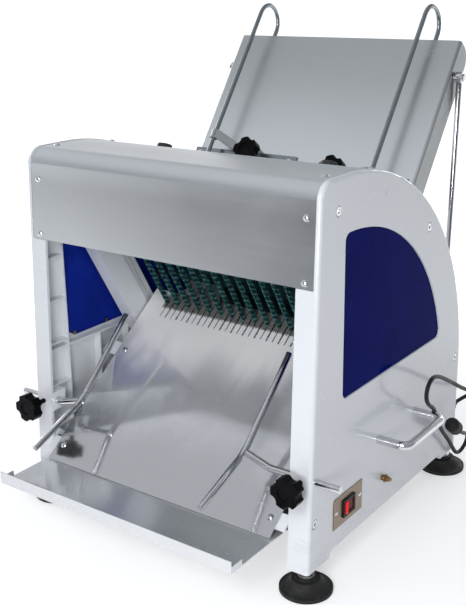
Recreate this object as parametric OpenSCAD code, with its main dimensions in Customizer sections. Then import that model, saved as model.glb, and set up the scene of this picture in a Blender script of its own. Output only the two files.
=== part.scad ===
// Tabletop bread slicer: two moulded side panels carry an inclined pair of reciprocating knife frames,
// a steep infeed table behind them and a polished outfeed slide in front of them.
// X runs across the machine, Y from the outfeed to the infeed side, Z up from the floor.

/* [Side panels] */
// Width over the outer faces of the two side panels
body_w = 544.8; // [520:0.2:620]
// Depth of the panel rim, from the outer face to the inner edge
panel_rim = 35.6; // [32:0.2:42]
// Thickness of the panel's outer skin
panel_skin = 5; // [4:0.5:7]
// Thickness of the rim wall
rim_wall = 5; // [4:0.5:7]
// Height of the panel's top edge above the floor
panel_top = 604.5; // [590:0.5:640]
// Height of the leg ends above the floor
leg_z = 39; // [36:0.5:44]
// Step between the leg ends and the bottom edge
belly_step = 10.5; // [8:0.5:14]
// Distance from the front leg's toe to the rear edge
panel_depth = 502.7; // [495:0.1:540]
// Radius of the rounded rear top
rear_arc_r = 396; // [370:1:410]
// Backward lean of the front edge in degrees
front_lean = 2.79; // [1:0.01:5]
// Radius of the front top corner
front_corner_r = 28; // [20:1:36]
// Rounding of the outer edges
edge_round = 6; // [4:0.5:7]
// Length of the leg ends along the bottom
leg_len = 60; // [52:1:70]
// Depth of the stiffening ribs inside the panels
rib_depth = 14; // [10:0.5:18]
// Thickness of the ribs
rib_t = 3; // [2:0.5:5]
// Distance between neighbouring ribs
rib_pitch = 74; // [60:1:100]

/* [Windows] */
// Distance of the window's front edge from the panel's build line
window_front = 77; // [70:1:90]
// Height of the window's lower edge
window_bottom = 280; // [265:1:300]
// Width of white panel left round the window's arc
window_band = 80; // [70:1:95]
// Radius of the window's corners
window_corner = 12; // [6:1:20]
// Thickness of the blue pane
pane_t = 5; // [3:0.5:6]
// Overlap of the pane behind the panel skin
pane_lip = 10; // [8:0.5:12]

/* [Hood] */
// Thickness of the hood sheet
hood_sheet = 1.5; // [1:0.1:2]
// Depth of the hood's surface below the panel's edge
hood_recess = 1; // [0.5:0.1:2]
// Width of white panel edge left beside the hood
hood_margin = 8; // [8:0.5:11]
// Height of the hood's lower front edge
hood_bottom = 460; // [440:1:480]
// Rear end of the hood
hood_rear = 240; // [225:1:255]
// Width of the flange turned in at the hood's lower edge
hood_flange = 16; // [10:1:22]
// Diameter of the dome screw heads
dome_d = 11; // [9:0.5:13]
// Diameter of the two knob caps under the hood's rear bar
cap_d = 40; // [32:1:46]

/* [Knives] */
// Number of knives in both frames together
knife_count = 31; // [21:2:31]
// Distance between neighbouring knives, which is the slice thickness
knife_pitch = 12; // [10:0.5:12.5]
// Lean of the knife plane from the vertical in degrees
knife_lean = 30; // [28:0.5:32]
// Width of a knife
knife_w = 12; // [10:0.5:13]
// Thickness of a knife
knife_t = 0.6; // [0.5:0.1:1]
// Distance from tooth to tooth
tooth_pitch = 11; // [9:0.5:14]
// Depth of the teeth
tooth_depth = 2.6; // [1.5:0.1:3.5]
// Full stroke of a knife frame
stroke = 20; // [14:1:22]
// Thickness of a frame bar
bar_t = 9; // [7:0.5:10]
// Height of a frame bar
bar_h = 24; // [20:1:28]
// Place of the upper frame bars along the knives, from the throat
bar_up = 300; // [280:1:306]
// Place of the lower frame bars along the knives, from the throat
bar_down = 70; // [66:1:76]
// Depth of the white guide rails in front of the frames
rail_depth = 43; // [36:1:46]

/* [Outfeed] */
// Width of the slide
slide_w = 444; // [420:1:448]
// Slope of the slide in degrees
slide_angle = 36.7; // [35:0.1:38]
// Thickness of the slide sheet
slide_sheet = 2; // [1.5:0.1:2.5]
// Length of the comb fingers
comb_len = 54; // [48:1:60]
// Reach of the comb fingers behind the knives
comb_reach = 18; // [16:1:22]
// Width of a comb slot
comb_slot = 3; // [2:0.2:4]
// Width of the crumb tray
tray_w = 454; // [440:1:460]
// Height of the tray's floor
tray_z = 94; // [90:1:98]
// Front of the tray's lip
tray_front = -135; // [-150:1:-120]
// Rear end of the tray
tray_rear = 270; // [240:1:280]
// Height of the tray's lip
tray_lip = 18; // [12:1:26]
// Thickness of the tray sheet
tray_sheet = 1.5; // [1:0.1:2]

/* [Infeed] */
// Width of the infeed table
table_w = 444.6; // [420:0.2:450]
// Length of the infeed table along its slope
table_len = 494.5; // [470:0.5:520]
// Slope of the infeed table in degrees
table_angle = 53.8; // [52:0.1:55]
// Depth of the table's folded edges
table_fold = 42.6; // [36:0.2:48]
// Thickness of the table sheet
table_sheet = 1.5; // [1:0.1:2]
// Outer radius of the table's folds
fold_r = 5; // [3:0.5:8]
// Diameter of the two prop rods
prop_d = 10; // [8:0.5:12]

/* [Guides] */
// Diameter of the infeed hairpin rods
hairpin_d = 8; // [6:0.5:10]
// Height of the hairpin's front leg above the table
hairpin_front = 30; // [26:0.5:36]
// Distance of the hairpin's back leg behind the table
hairpin_back = 33; // [28:0.5:40]
// Place of the left hairpin rod
hairpin_left_x = -175; // [-180:1:-165]
// Place of the right hairpin rod
hairpin_right_x = 158; // [150:1:170]
// Distance from the left hairpin rod to its clamp block
reach_left = 86; // [76:1:92]
// Distance from the right hairpin rod to its clamp block
reach_right = 68; // [60:1:74]
// Diameter of the outfeed guide rods
guide_d = 10; // [8:0.5:11]
// Diameter of the outfeed guide shafts
shaft_d = 11; // [9:0.5:12]
// Place of the left outfeed rod
guide_left_x = -180; // [-190:1:-165]
// Place of the right outfeed rod
guide_right_x = 150; // [140:1:165]
// Height of the outfeed guide shafts
shaft_z = 181.5; // [172:0.5:195]
// Length of shaft that stands out of the panel
shaft_stub = 40; // [30:1:50]
// Diameter of the star knobs
knob_d = 46; // [40:1:50]
// Thickness of the star knobs
knob_h = 17; // [14:1:20]

/* [Handles and feet] */
// Diameter of the handle tube
handle_d = 14; // [12:0.5:16]
// Distance of the handle bar from the panel
handle_reach = 50.6; // [44:0.2:58]
// Distance between the handle's legs
handle_len = 125; // [110:1:140]
// Height of the handles
handle_z = 174.5; // [165:0.5:185]
// Diameter of the rubber feet
foot_d = 80; // [70:1:84]

/* [Drive] */
// Length of the connecting rods between centres
conrod_len = 85; // [80:1:90]
// Radius of the crankshaft
crank_r = 10; // [9:0.5:11]
// Radius of the eccentrics
ecc_r = 23; // [22:0.5:25]
// Radius of the crank pulley
crank_pulley_r = 48; // [42:1:52]
// Radius of the motor pulley
motor_pulley_r = 22; // [18:1:26]
// Distance from the crankshaft to the motor shaft
belt_centres = 83; // [80:1:86]
// Radius of the motor
motor_r = 50; // [44:1:52]
// Length of the motor housing
motor_len = 170; // [140:1:180]

/* [Switch and cord] */
// Width of the switch plate
plate_w = 84; // [76:1:92]
// Height of the switch plate
plate_h = 49; // [44:1:54]
// Width of the rocker switch's bezel
bezel_w = 34; // [28:1:38]
// Height of the rocker switch's bezel
bezel_h = 28; // [24:1:32]
// Diameter of the mains cord
cord_d = 7; // [6:0.5:8]

/* [Hidden] */

$fn = 48;
far = 2000;
sides = [-1, 1];

// Clearances
fit = 0.05;
seat = 0.3;
gap = 0.5;
// Run of a cut past the surface that it opens
over = 1;
// Half length of a hole drilled through sheet
drill = 9;

// Panel outline in the Y Z plane
front_toe = -12.7;
rear_y = front_toe + panel_depth;
arc_y = rear_y - rear_arc_r;
arc_z = panel_top - rear_arc_r;
belly_z = leg_z + belly_step;
outer_x = body_w / 2;
inner_x = outer_x - panel_rim;
skin_x = outer_x - panel_skin;
rib_x = skin_x - rib_depth;
// The corner arc starts this far outside the leaning edge, so the two cross
corner_step = 0.15;
// Run of the leaning edge past the start of the corner arc
corner_lap = 6;
corner_z = panel_top - front_corner_r;
corner_y = front_at(corner_z) + front_corner_r - corner_step;

// Smallest corner radius of the window
least_corner = 2;

// Throat, where the slide's surface meets the middle plane of the knives
throat_y = 243.8;
throat_z = 304.5;

// Slide and tray
slide_drop = (throat_z - tray_z - gap - slide_sheet * cos(slide_angle)) / sin(slide_angle);
slide_len = slide_drop + comb_reach;

// Knife frames
// Share of a cross bar's height that the knife slots take
knife_hold = 0.75;
frame_gap = 1;
blade_plane = frame_gap + bar_t / 2;
side_bar_in = 229;
side_bar_w = 11;
side_bar_out = side_bar_in + side_bar_w;
rail_in = 226;
rail_room = 2;
rail_back = blade_plane + bar_t / 2 + rail_room;
rail_low = -36;
rail_high = bar_up - rail_room;

// Infeed table: lower edge just behind the knives
table_room = 14;
table_behind = blade_plane + knife_w / 2 + table_room;
table_rise = 37;
table_low = knife_pt(table_rise, table_behind);
table_top_y = table_low[0] + table_len * cos(table_angle);
table_top_z = table_low[1] + table_len * sin(table_angle);
hairpin_r = (hairpin_front + hairpin_back) / 2;
hairpin_mid = (hairpin_front - hairpin_back) / 2;
hairpin_rise = 29;
hairpin_y = table_top_y + hairpin_rise * cos(table_angle) - hairpin_mid * sin(table_angle);
hairpin_rear = hairpin_y + hairpin_r + hairpin_d / 2;
mid_y = (tray_front + hairpin_rear) / 2;

// Fasteners and bars
tie_r = 9;
tie_front = [58, 559];
// height of the rear tie bar, and its distance inside the panels' rear edge
tie_rear_z = 219;
tie_rear_in = 19.861;
tie_rear_edge = arc_y + sqrt(pow(rear_arc_r, 2) - pow(max(0, tie_rear_z - arc_z), 2));
tie_rear = [tie_rear_edge - tie_rear_in, tie_rear_z];
table_bolt = [342, 478];
support_bolt = [6, 115];
panel_bolts = [tie_front, tie_rear, table_bolt, support_bolt];
cap_x = 160;
cap_angle = 18.6;
// Room round the hood bar in the notch of each panel's rim
bar_slack = 0.6;
hood_bar_r = rear_arc_r - hood_recess - hood_sheet - gap - tie_r;
hood_bar = [arc_y + hood_bar_r * sin(cap_angle), arc_z + hood_bar_r * cos(cap_angle)];
bolt_r = 4;
small_bolt_r = 3;
bolt_depth = 20;
bolt_room = 4;
socket_r = 3.4;
socket_floor = 1;
bolt_head_r = 6.5;
bolt_head_h = 2.6;
recess_r = 8;
recess_h = 3;

// Feet and base
foot_x = (outer_x + inner_x) / 2;
foot_front = 11.7;
foot_back = 12.3;
foot_ys = [foot_front, rear_y - foot_back];
foot_boss_r = 13;
stud_r = 6;
stud_room = 6;
stud_floor = 8;
lock_nut_h = 8;
base_t = 4;
base_z = belly_z + rim_wall;
base_top = base_z + base_t;
base_front = 210;
base_room = 3;
base_rear = rear_y - rim_wall - base_room;

// Drive
ecc = stroke / 2;
pin_room = 28;
pin_drop = bar_down + bar_h / 2 + stroke / 2 + pin_room;
crank_drop = pin_drop + conrod_len;
crank_pos = knife_pt(-crank_drop, 0);
motor_pos = crank_pos + [belt_centres, 0];
conrod_t = 8;
rod_x_front = 196;
rod_x_rear = 166;
belt_x = -110;
belt_t = 8;
pulley_w = 18;
bearing_x = 145;
bearing_t = 20;

// Guides at the outfeed
shaft_y = 6.5;
shaft_block = 32;
shaft_bend = 45;
guide_rise = 13;

// Clamp bars of the two infeed guides, in table coordinates: the right one is set lower
bar_left_s = -255;
bar_right_s = -273;
bar_w = 20;
bar_lift = 6;
bar_thick = 6;
clip_left_s = -226;
clip_right_s = -268;
bar_end = 1;
block_len = 24;
block_top = 19;

// Switch, earth stud and cord gland
plate_y = 98;
plate_z = 104.3;
plate_t = 1.5;
earth_pos = [208, 101];
rocker_tilt = 9;
gland_in = 14.4;
gland_x = outer_x - gland_in;
gland_z = 112;

// Cord route from the gland to the plug: X, Y, Z
cord_route = [
    [258, 518, 112], [258, 531, 112], [263, 546, 115], [273, 556, 121], [285, 558, 127], [297, 550, 134],
    [304, 535, 141], [307, 516, 147], [307, 497, 152], [305, 480, 158], [303, 463, 165], [302, 445, 175],
    [302, 425, 186], [303, 405, 198], [304, 386, 209], [305, 366, 220], [306, 347, 230], [308, 329, 239],
    [310, 312, 247], [311, 298, 252], [312, 285, 252], [313, 275, 247], [313, 268, 237], [312, 268, 225],
    [311, 275, 213], [309, 287, 204], [307, 300, 198], [306, 312, 192], [304, 322, 185], [302, 331, 176],
    [300, 339, 166], [297, 350, 153], [294, 362, 141], [291, 375, 129], [288, 389, 117], [286, 404, 105],
    [285, 419, 92], [284, 434, 78], [284, 447, 66], [283, 457, 54], [283, 465, 42], [282, 474, 32],
    [283, 486, 27], [284, 498, 30], [286, 507, 39], [289, 510, 50], [292, 506, 61], [293, 497, 69],
    [294, 486, 73], [295, 475, 77], [297, 463, 83], [298, 451, 90], [300, 440, 97], [301, 430, 104]
];

function front_at(z) = front_toe + tan(front_lean) * (z - leg_z);
function knife_pt(s, n) = [
    throat_y - s * sin(knife_lean) + n * cos(knife_lean),
    throat_z + s * cos(knife_lean) + n * sin(knife_lean)
];
function unit(v) = v / norm(v);

// Moves the build plane so that the machine is centred on the origin
module place() {
    translate([0, -mid_y, 0]) children();
}

// Extrudes a Y Z outline along X
module along_x(x0, len) {
    translate([x0, 0, 0]) rotate([90, 0, 90]) linear_extrude(len) children();
}

// Round bar along X at a Y Z point
module bar_x(pos, r, x0, len) {
    translate([x0, pos[0], pos[1]]) rotate([0, 90, 0]) cylinder(h = len, r = r);
}

// Frames that follow the knife plane, the slide and the infeed table
module in_knife() {
    translate([0, throat_y, throat_z]) rotate([knife_lean, 0, 0]) children();
}
module in_slide() {
    translate([0, throat_y, throat_z]) rotate([slide_angle, 0, 0]) children();
}
module in_table() {
    translate([0, table_top_y, table_top_z]) rotate([table_angle, 0, 0]) children();
}

// Both sides of the machine from its right side
module both_sides() {
    for (s = sides)
        mirror([s < 0 ? 1 : 0, 0, 0]) children();
}

// Waste left outside a rounded corner with centre c between the directions d1 and d2
module corner_waste(c, d1, d2, r) {
    difference() {
        polygon([c, c + far * d1, c + far * (d1 + d2), c + far * d2]);
        translate(c) circle(r);
    }
}

// Outline of a side panel, drawn inwards by the given inset
module panel_outline(inset) {
    low = leg_z + inset;
    high = panel_top - inset;
    skew = inset / cos(front_lean);
    difference() {
        union() {
            intersection() {
                translate([arc_y, arc_z]) circle(rear_arc_r - inset, $fn = 180);
                translate([arc_y - over, arc_z - over]) square(rear_arc_r + over);
            }
            polygon([
                [front_at(low) + skew, low], [arc_y, low], [arc_y, high], [front_at(high) + skew, high]
            ]);
            translate([arc_y - over, low]) square([rear_y - inset - arc_y + over, arc_z - low]);
        }
        belly_cut(inset);
        if (front_corner_r > inset)
            corner_waste([corner_y, corner_z], [-1, 0], [0, 1], front_corner_r - inset);
    }
}

// Shallow arch between the leg ends
module belly_cut(inset) {
    y0 = front_toe + leg_len + belly_step;
    y1 = rear_y - leg_len - belly_step;
    translate([y0, 0]) square([y1 - y0, belly_z + inset]);
    for (y = [y0, y1])
        translate([y, leg_z]) circle(belly_step + inset);
}

// Outline of the window, drawn inwards by the given inset
module window_outline(inset) {
    r = rear_arc_r - window_band - inset;
    y = window_front + inset;
    z = window_bottom + inset;
    c = max(window_corner - inset, least_corner);
    up = [y + c, arc_z + sqrt(pow(r - c, 2) - pow(y + c - arc_y, 2))];
    back = [arc_y + sqrt(pow(r - c, 2) - pow(z + c - arc_z, 2)), z + c];
    mid = [arc_y, arc_z];
    difference() {
        intersection() {
            translate(mid) circle(r, $fn = 180);
            translate([y, z]) square(far);
        }
        corner_waste(up, [-1, 0], unit(up - mid), c);
        corner_waste(back, [0, -1], unit(back - mid), c);
        corner_waste([y + c, z + c], [-1, 0], [0, -1], c);
    }
}

// Section of the waste that rounds an outer edge: outward distance, then distance along X
module edge_section(r) {
    translate([-r, outer_x - r]) difference() {
        square(r + over);
        circle(r);
    }
}

// Rounds the panel's outer edge along a straight stretch and along an arc
module straight_edge(p, q) {
    d = q - p;
    rotate([90, 0, 90]) translate(p) rotate([0, 0, atan2(d[1], d[0])])
        rotate([90, 0, 90]) linear_extrude(norm(d)) edge_section(edge_round);
}
module arc_edge(c, r, from, sweep) {
    rotate([90, 0, 90]) translate(c) rotate([0, 0, from])
        rotate_extrude(angle = sweep, $fn = 180) translate([r, 0]) edge_section(edge_round);
}
module rounded_edges() {
    toe = [front_at(0), 0];
    lap_z = corner_z + corner_lap;
    straight_edge(toe, [front_at(lap_z), lap_z]);
    arc_edge([corner_y, corner_z], front_corner_r, 90, 90);
    straight_edge([corner_y, panel_top], [arc_y, panel_top]);
    arc_edge([arc_y, arc_z], rear_arc_r, 0, 90);
    straight_edge([rear_y, arc_z], [rear_y, 0]);
}

// Stiffening ribs behind the skin, clear of the window
module rib_lines() {
    upright = window_front - pane_lip - 2 * rib_t;
    level = window_bottom - pane_lip - 2 * rib_t;
    translate([upright - rib_t, 0]) square([rib_t, far]);
    translate([0, level - rib_t]) square([far, rib_t]);
    for (z = [belly_z + rib_pitch : rib_pitch : panel_top])
        translate([front_toe, z]) square([upright - front_toe, rib_t]);
    for (y = [upright + rib_pitch : rib_pitch : rear_y])
        translate([y, 0]) square([rib_t, level]);
}

// Places a child on each screw that holds the hood: across, along the outward normal
hood_screw_in = 15;
hood_screw_up = [8, 96];
hood_screw_y = 61;
hood_screw_angle = 14;
hood_screw_r = 2.5;
hood_screw_len = 12;
module at_hood_screws() {
    inset = hood_recess;
    x = outer_x - hood_margin - hood_screw_in;
    for (up = hood_screw_up) {
        z = hood_bottom + up;
        translate([x, front_at(z) + inset / cos(front_lean), z])
            rotate([90 - front_lean, 0, 0]) children();
    }
    translate([x, hood_screw_y, panel_top - inset]) children();
    translate([x, arc_y, arc_z]) rotate([-hood_screw_angle, 0, 0])
        translate([0, 0, rear_arc_r - inset]) children();
}

// Right hand side panel
module panel_shape() {
    difference() {
        union() {
            difference() {
                along_x(inner_x, panel_rim) panel_outline(0);
                along_x(inner_x - gap, panel_rim - panel_skin + gap) panel_outline(rim_wall);
            }
            along_x(rib_x, rib_depth + gap) intersection() {
                rib_lines();
                difference() {
                    panel_outline(rim_wall / 2);
                    window_outline(-pane_lip - rib_t);
                }
            }
            shaft_boss();
            foot_bosses();
            for (p = concat(panel_bolts, [hood_bar]))
                bar_x(p, tie_r, rib_x, rib_depth + gap);
        }
        along_x(outer_x - far / 2, far) window_outline(0);
        rounded_edges();
        along_x(0, outer_x - hood_margin + seat)
            hood_band(hood_recess - 4 * gap, hood_recess + hood_sheet + fit, gap);
        along_x(skin_x - gap, far) slit();
        for (p = panel_bolts) {
            bar_x(p, recess_r, outer_x - recess_h, far);
            bar_x(p, bolt_r + fit, rib_x - gap, far);
        }
        for (p = [tie_front, tie_rear])
            bar_x(p, tie_r + fit, 0, skin_x);
        bar_x(hood_bar, tie_r + bar_slack, 0, rib_x);
        bar_x([shaft_y, shaft_z], shaft_d / 2 + fit, 0, far);
        translate([foot_x, front_toe - far, shaft_z]) rotate([-90, 0, 0])
            cylinder(h = far + shaft_y - front_toe, r = knob_stud_r + fit);
        for (y = foot_ys)
            translate([foot_x, y, 0]) cylinder(h = base_z + over, r = stud_r + fit);
        for (y = handle_ys)
            bar_x([y, handle_z], handle_d / 2 + fit, 0, far);
        at_hood_screws() translate([0, 0, -hood_screw_len - over])
            cylinder(h = hood_screw_len + 2 * over, r = hood_screw_r + 2 * fit);
        at_cover_screws()
            translate([0, 0, -2 * rim_wall]) cylinder(h = 3 * rim_wall, r = cover_screw_r + fit);
    }
}

// Small upright slit near the panel's top
slit_pos = [191, 560];
slit_w = 2.4;
slit_h = 9;
module slit() {
    translate(slit_pos - [slit_w, slit_h] / 2) square([slit_w, slit_h]);
}

// Block in the panel that the outfeed guide's shaft slides in
module shaft_boss() {
    half = shaft_block / 2;
    depth = 30;
    translate([inner_x, front_at(shaft_z) + rim_wall / 2, shaft_z - half])
        cube([panel_rim - panel_skin / 2, depth, shaft_block]);
}

module foot_bosses() {
    for (y = foot_ys)
        intersection() {
            translate([foot_x, y, leg_z]) cylinder(h = base_z - leg_z, r = foot_boss_r);
            along_x(inner_x, panel_rim - panel_skin / 2) panel_outline(rim_wall / 2);
        }
}

module side_panel_right() place() color("whitesmoke") difference() {
    panel_shape();
    along_x(skin_x - gap, far) switch_cutout();
    bar_x(earth_pos, earth_r + fit, 0, far);
    at_plate_screws() translate([0, 0, -2 * panel_skin])
        cylinder(h = 3 * panel_skin, r = cover_screw_r + fit);
    translate([gland_x, rear_y, gland_z]) rotate([90, 0, 0])
        cylinder(h = 4 * rim_wall, r = gland_r + fit, center = true);
}
module side_panel_left() place() color("whitesmoke") mirror([1, 0, 0]) panel_shape();

// Blue panes behind the window openings
pane_short = 1;
pane_head_r = 3.6;
pane_head_h = 1.8;
pane_angles = [30, 50, 70];
module pane() {
    difference() {
        union() {
            along_x(skin_x - pane_t, pane_t) window_outline(pane_short - pane_lip);
            along_x(skin_x - seat, seat + panel_skin / 2) window_outline(seat);
        }
        at_window_screws() translate([0, 0, -far / 2]) cylinder(h = far, r = pane_screw_r + fit);
    }
}
module window_right() place() color("navy") pane();
module window_left() place() color("navy") mirror([1, 0, 0]) pane();

pane_screw_r = 2;
module at_window_screws() {
    edge = pane_lip / 2;
    r = rear_arc_r - window_band + edge;
    low_count = 4;
    low_span = rear_arc_r - window_band - 2 * edge - (window_front - arc_y);
    for (i = [0 : low_count - 1])
        translate([skin_x - pane_t, window_front + edge + i * low_span / low_count, window_bottom - edge])
            rotate([0, 90, 0]) children();
    for (a = pane_angles)
        translate([skin_x - pane_t, arc_y + r * cos(a), arc_z + r * sin(a)])
            rotate([0, 90, 0]) children();
}
module window_screws() place() color("darkgoldenrod") both_sides() at_window_screws() {
    translate([0, 0, -pane_head_h]) cylinder(h = pane_head_h, r = pane_head_r);
    cylinder(h = pane_t, r = pane_screw_r);
}

// Recessed socket screws through the skins into the tie bars and brackets
module panel_screws() place() color("silver") both_sides() for (p = panel_bolts) {
    head_x = outer_x - recess_h;
    tip_x = rib_x - bolt_depth + bolt_room;
    difference() {
        union() {
            bar_x(p, bolt_head_r, head_x, bolt_head_h);
            bar_x(p, bolt_r, tip_x, head_x - tip_x + over);
        }
        translate([head_x + socket_floor, p[0], p[1]]) rotate([0, 90, 0])
            cylinder(h = recess_h, r = socket_r, $fn = 6);
    }
}

// Round bars that tie the panels together
module tie_bars() place() color("silver") {
    for (p = [tie_front, tie_rear]) difference() {
        bar_x(p, tie_r, -skin_x, 2 * skin_x);
        both_sides() bar_x(p, bolt_r + fit, rib_x - bolt_depth, far);
    }
    difference() {
        bar_x(hood_bar, tie_r, -rib_x, 2 * rib_x);
        at_caps() translate([0, 0, -cap_drop - over])
            cylinder(h = cap_drop + over, r = cap_stud_r + fit);
    }
}

// Floor plate of the drive, resting on the panels' bottom rims
module base_plate() place() color("gainsboro") difference() {
    translate([-rib_x + gap, base_front, base_z])
        cube([2 * (rib_x - gap), base_rear - base_front, base_t]);
    for (y = foot_ys, s = sides)
        translate([s * foot_x, y, base_z - over]) cylinder(h = base_t + 2 * over, r = stud_r + stud_room);
}

// Curved rear cover that follows the panels' rear edge, with motor louvres
cover_sheet = 1.5;
cover_low = base_z + rail_room;
cover_high = 455;
// distance of the cover's front end behind the hood's rear edge
cover_behind = 60;
cover_front = hood_rear + cover_behind;
cover_edge = 11;
cover_half = inner_x + cover_edge;
cover_screw_zs = [75, 165];
small_dome_d = 7;
module rear_cover() place() color("whitesmoke") difference() {
    inset = rim_wall + fit;
    along_x(-cover_half, 2 * cover_half) intersection() {
        difference() {
            panel_outline(inset);
            panel_outline(inset + cover_sheet);
        }
        translate([cover_front, cover_low]) square([far, cover_high - cover_low]);
    }
    louvres();
    at_cover_screws() translate([0, 0, -4 * rim_wall])
        cylinder(h = 4 * rim_wall, r = cover_screw_r + fit);
}
module louvres() {
    rows = 6;
    pitch = 16;
    slot_w = 160;
    slot_h = 6;
    low = 90;
    for (i = [0 : rows - 1])
        translate([-slot_w / 2, rear_y - 3 * rim_wall, low + i * pitch])
            cube([slot_w, 3 * rim_wall, slot_h]);
}
cover_screw_r = 2;
module at_cover_screws() {
    both_sides() for (z = cover_screw_zs)
        translate([(inner_x + cover_half) / 2, rear_y, z]) rotate([-90, 0, 0]) children();
}
// Screws of the rear cover and of the switch plate
module cover_screws() place() color("silver") {
    at_cover_screws() {
        dome(small_dome_d);
        translate([0, 0, -3 * rim_wall]) cylinder(h = 3 * rim_wall, r = cover_screw_r);
    }
    at_plate_screws() {
        dome(small_dome_d);
        translate([0, 0, -panel_skin - plate_t])
            cylinder(h = panel_skin + plate_t, r = cover_screw_r);
    }
}

// Low dome of a screw head with its flat side on the local plane
module dome(d) {
    share = 0.28;
    rise = d * share;
    ball = (pow(d / 2, 2) + pow(rise, 2)) / (2 * rise);
    intersection() {
        translate([0, 0, rise - ball]) sphere(ball);
        cylinder(h = rise, r = d / 2);
    }
}

// Band between two insets of the panel outline, over the hood's span
module hood_band(from, to, extra) {
    intersection() {
        difference() {
            panel_outline(from);
            panel_outline(to);
        }
        translate([-far, hood_bottom - extra]) square([far + hood_rear + extra, far]);
    }
}

// Stainless hood over the front and top
module hood_cover() place() color("silver") difference() {
    half = outer_x - hood_margin;
    lip = front_at(hood_bottom) + (hood_recess + hood_sheet) / cos(front_lean);
    union() {
        along_x(-half, 2 * half) hood_band(hood_recess, hood_recess + hood_sheet, 0);
        translate([-inner_x + gap, lip - hood_sheet / 2, hood_bottom])
            cube([2 * (inner_x - gap), hood_flange, hood_sheet]);
    }
    both_sides() at_hood_screws()
        translate([0, 0, -drill]) cylinder(h = 2 * drill, r = hood_screw_r + 2 * fit);
    at_caps() translate([0, 0, -drill]) cylinder(h = 2 * drill, r = cap_stud_r + fit);
}
module hood_screws() place() color("silver") both_sides() at_hood_screws() {
    dome(dome_d);
    translate([0, 0, -hood_screw_len]) cylinder(h = hood_screw_len, r = hood_screw_r);
}

// Knob caps on the hood's rear slope
cap_stud_r = 3;
module at_caps() {
    both_sides() at_cap() children();
}
module at_cap() {
    translate([cap_x, arc_y, arc_z]) rotate([-cap_angle, 0, 0])
        translate([0, 0, rear_arc_r - hood_recess]) children();
}
// Distance from the hood's face down to the underside of the bar
cap_drop = hood_sheet + gap + 2 * tie_r;
module cap_knob() {
    stud_len = cap_drop;
    neck_r = cap_d * 0.3;
    crown_r = cap_d * 0.36;
    neck_h = 2;
    rim_low = 4;
    rim_high = 8;
    crown_h = 13;
    top_h = 14;
    rotate_extrude() polygon([
        [0, -stud_len], [cap_stud_r, -stud_len], [cap_stud_r, seat], [neck_r, seat], [neck_r, neck_h],
        [cap_d / 2, rim_low], [cap_d / 2, rim_high], [crown_r, crown_h], [0, top_h]
    ]);
}
module under_cap() {
    at_cap() translate([0, 0, -cap_drop]) mirror([0, 0, 1]) children();
}
module hood_knob_right() place() color("black") under_cap() cap_knob();
module hood_knob_left() place() color("black") mirror([1, 0, 0]) under_cap() cap_knob();

// Channel section with rounded folds: across, then along the normal
module channel_section(w, depth, sheet, r) {
    difference() {
        rounded_top(w, depth, r);
        translate([0, -sheet]) rounded_top(w - 2 * sheet, depth, r - sheet);
    }
}
module rounded_top(w, depth, r) {
    translate([-w / 2, -depth]) square([w, depth - r]);
    translate([-w / 2 + r, -depth]) square([w - 2 * r, depth]);
    for (s = sides)
        translate([s * (w / 2 - r), -r]) circle(r);
}

// Infeed table: a pan folded back along both sides and the top
module infeed_table() place() color("silver") in_table() difference() {
    corner = 26;
    top_fold = 18;
    union() {
        rotate([90, 0, 0]) linear_extrude(table_len)
            channel_section(table_w, table_fold, table_sheet, fold_r);
        translate([-table_w / 2 + fold_r, -table_sheet, -top_fold])
            cube([table_w - 2 * fold_r, table_sheet, top_fold]);
    }
    rotate([90, 0, 90]) linear_extrude(far, center = true)
        corner_waste([-corner, -table_fold + corner], [1, 0], [0, -1], corner);
    both_sides() at_table_bolts() translate([0, 0, -drill]) cylinder(h = 2 * drill, r = small_bolt_r + fit);
    for (x = bar_feet)
        translate([x[0], x[1], -drill]) cylinder(h = 2 * drill, r = small_bolt_r + fit);
}

// Bolts through the table's side folds: prop rods at the top, brackets lower down
prop_s = -57;
// middle of the table brackets, measured up from the table's lower end
bracket_up = 159.5;
bracket_s = bracket_up - table_len;
bracket_len = 56;
bracket_bolt = 14;
module at_table_bolts() {
    for (s = [prop_s, bracket_s + bracket_bolt, bracket_s - bracket_bolt])
        translate([table_w / 2 - table_sheet, s, -table_fold / 2])
            rotate([0, 90, 0]) children();
}

// White blocks between the table's folds and the panels
module table_brackets() place() color("whitesmoke") both_sides() difference() {
    overlap = 12;
    intersection() {
        in_table() translate([table_w / 2, bracket_s - bracket_len / 2, -table_fold])
            cube([rib_x - table_w / 2, bracket_len, table_fold + overlap]);
        along_x(0, far) panel_outline(rim_wall + gap);
    }
    bar_x(table_bolt, bolt_r + fit, rib_x - bolt_depth, far);
    in_table() at_table_bolts() cylinder(h = bolt_depth, r = small_bolt_r + fit);
}

// Prop rods behind the table
prop_gap = 2.5;
prop_eye_t = prop_d;
prop_x = table_w / 2 + prop_gap + prop_eye_t / 2;
prop_top = table_pt(prop_s, -table_fold / 2);
prop_out = 16;
prop_low = 205;
prop_foot = [rear_y + prop_out, prop_low];
function table_pt(s, h) = [
    table_top_y + s * cos(table_angle) - h * sin(table_angle),
    table_top_z + s * sin(table_angle) + h * cos(table_angle)
];
module prop_rod() {
    d = prop_top - prop_foot;
    eye_r = prop_d * 0.9;
    difference() {
        union() {
            translate([prop_x, prop_foot[0], prop_foot[1]]) rotate([-atan2(d[0], d[1]), 0, 0])
                cylinder(h = norm(d), r = prop_d / 2);
            for (p = [prop_top, prop_foot])
                bar_x(p, eye_r, prop_x - prop_eye_t / 2, prop_eye_t);
        }
        for (p = [prop_top, prop_foot])
            bar_x(p, small_bolt_r + fit, 0, far);
    }
}
module prop_rod_right() place() color("silver") prop_rod();
module prop_rod_left() place() color("silver") mirror([1, 0, 0]) prop_rod();

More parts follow.
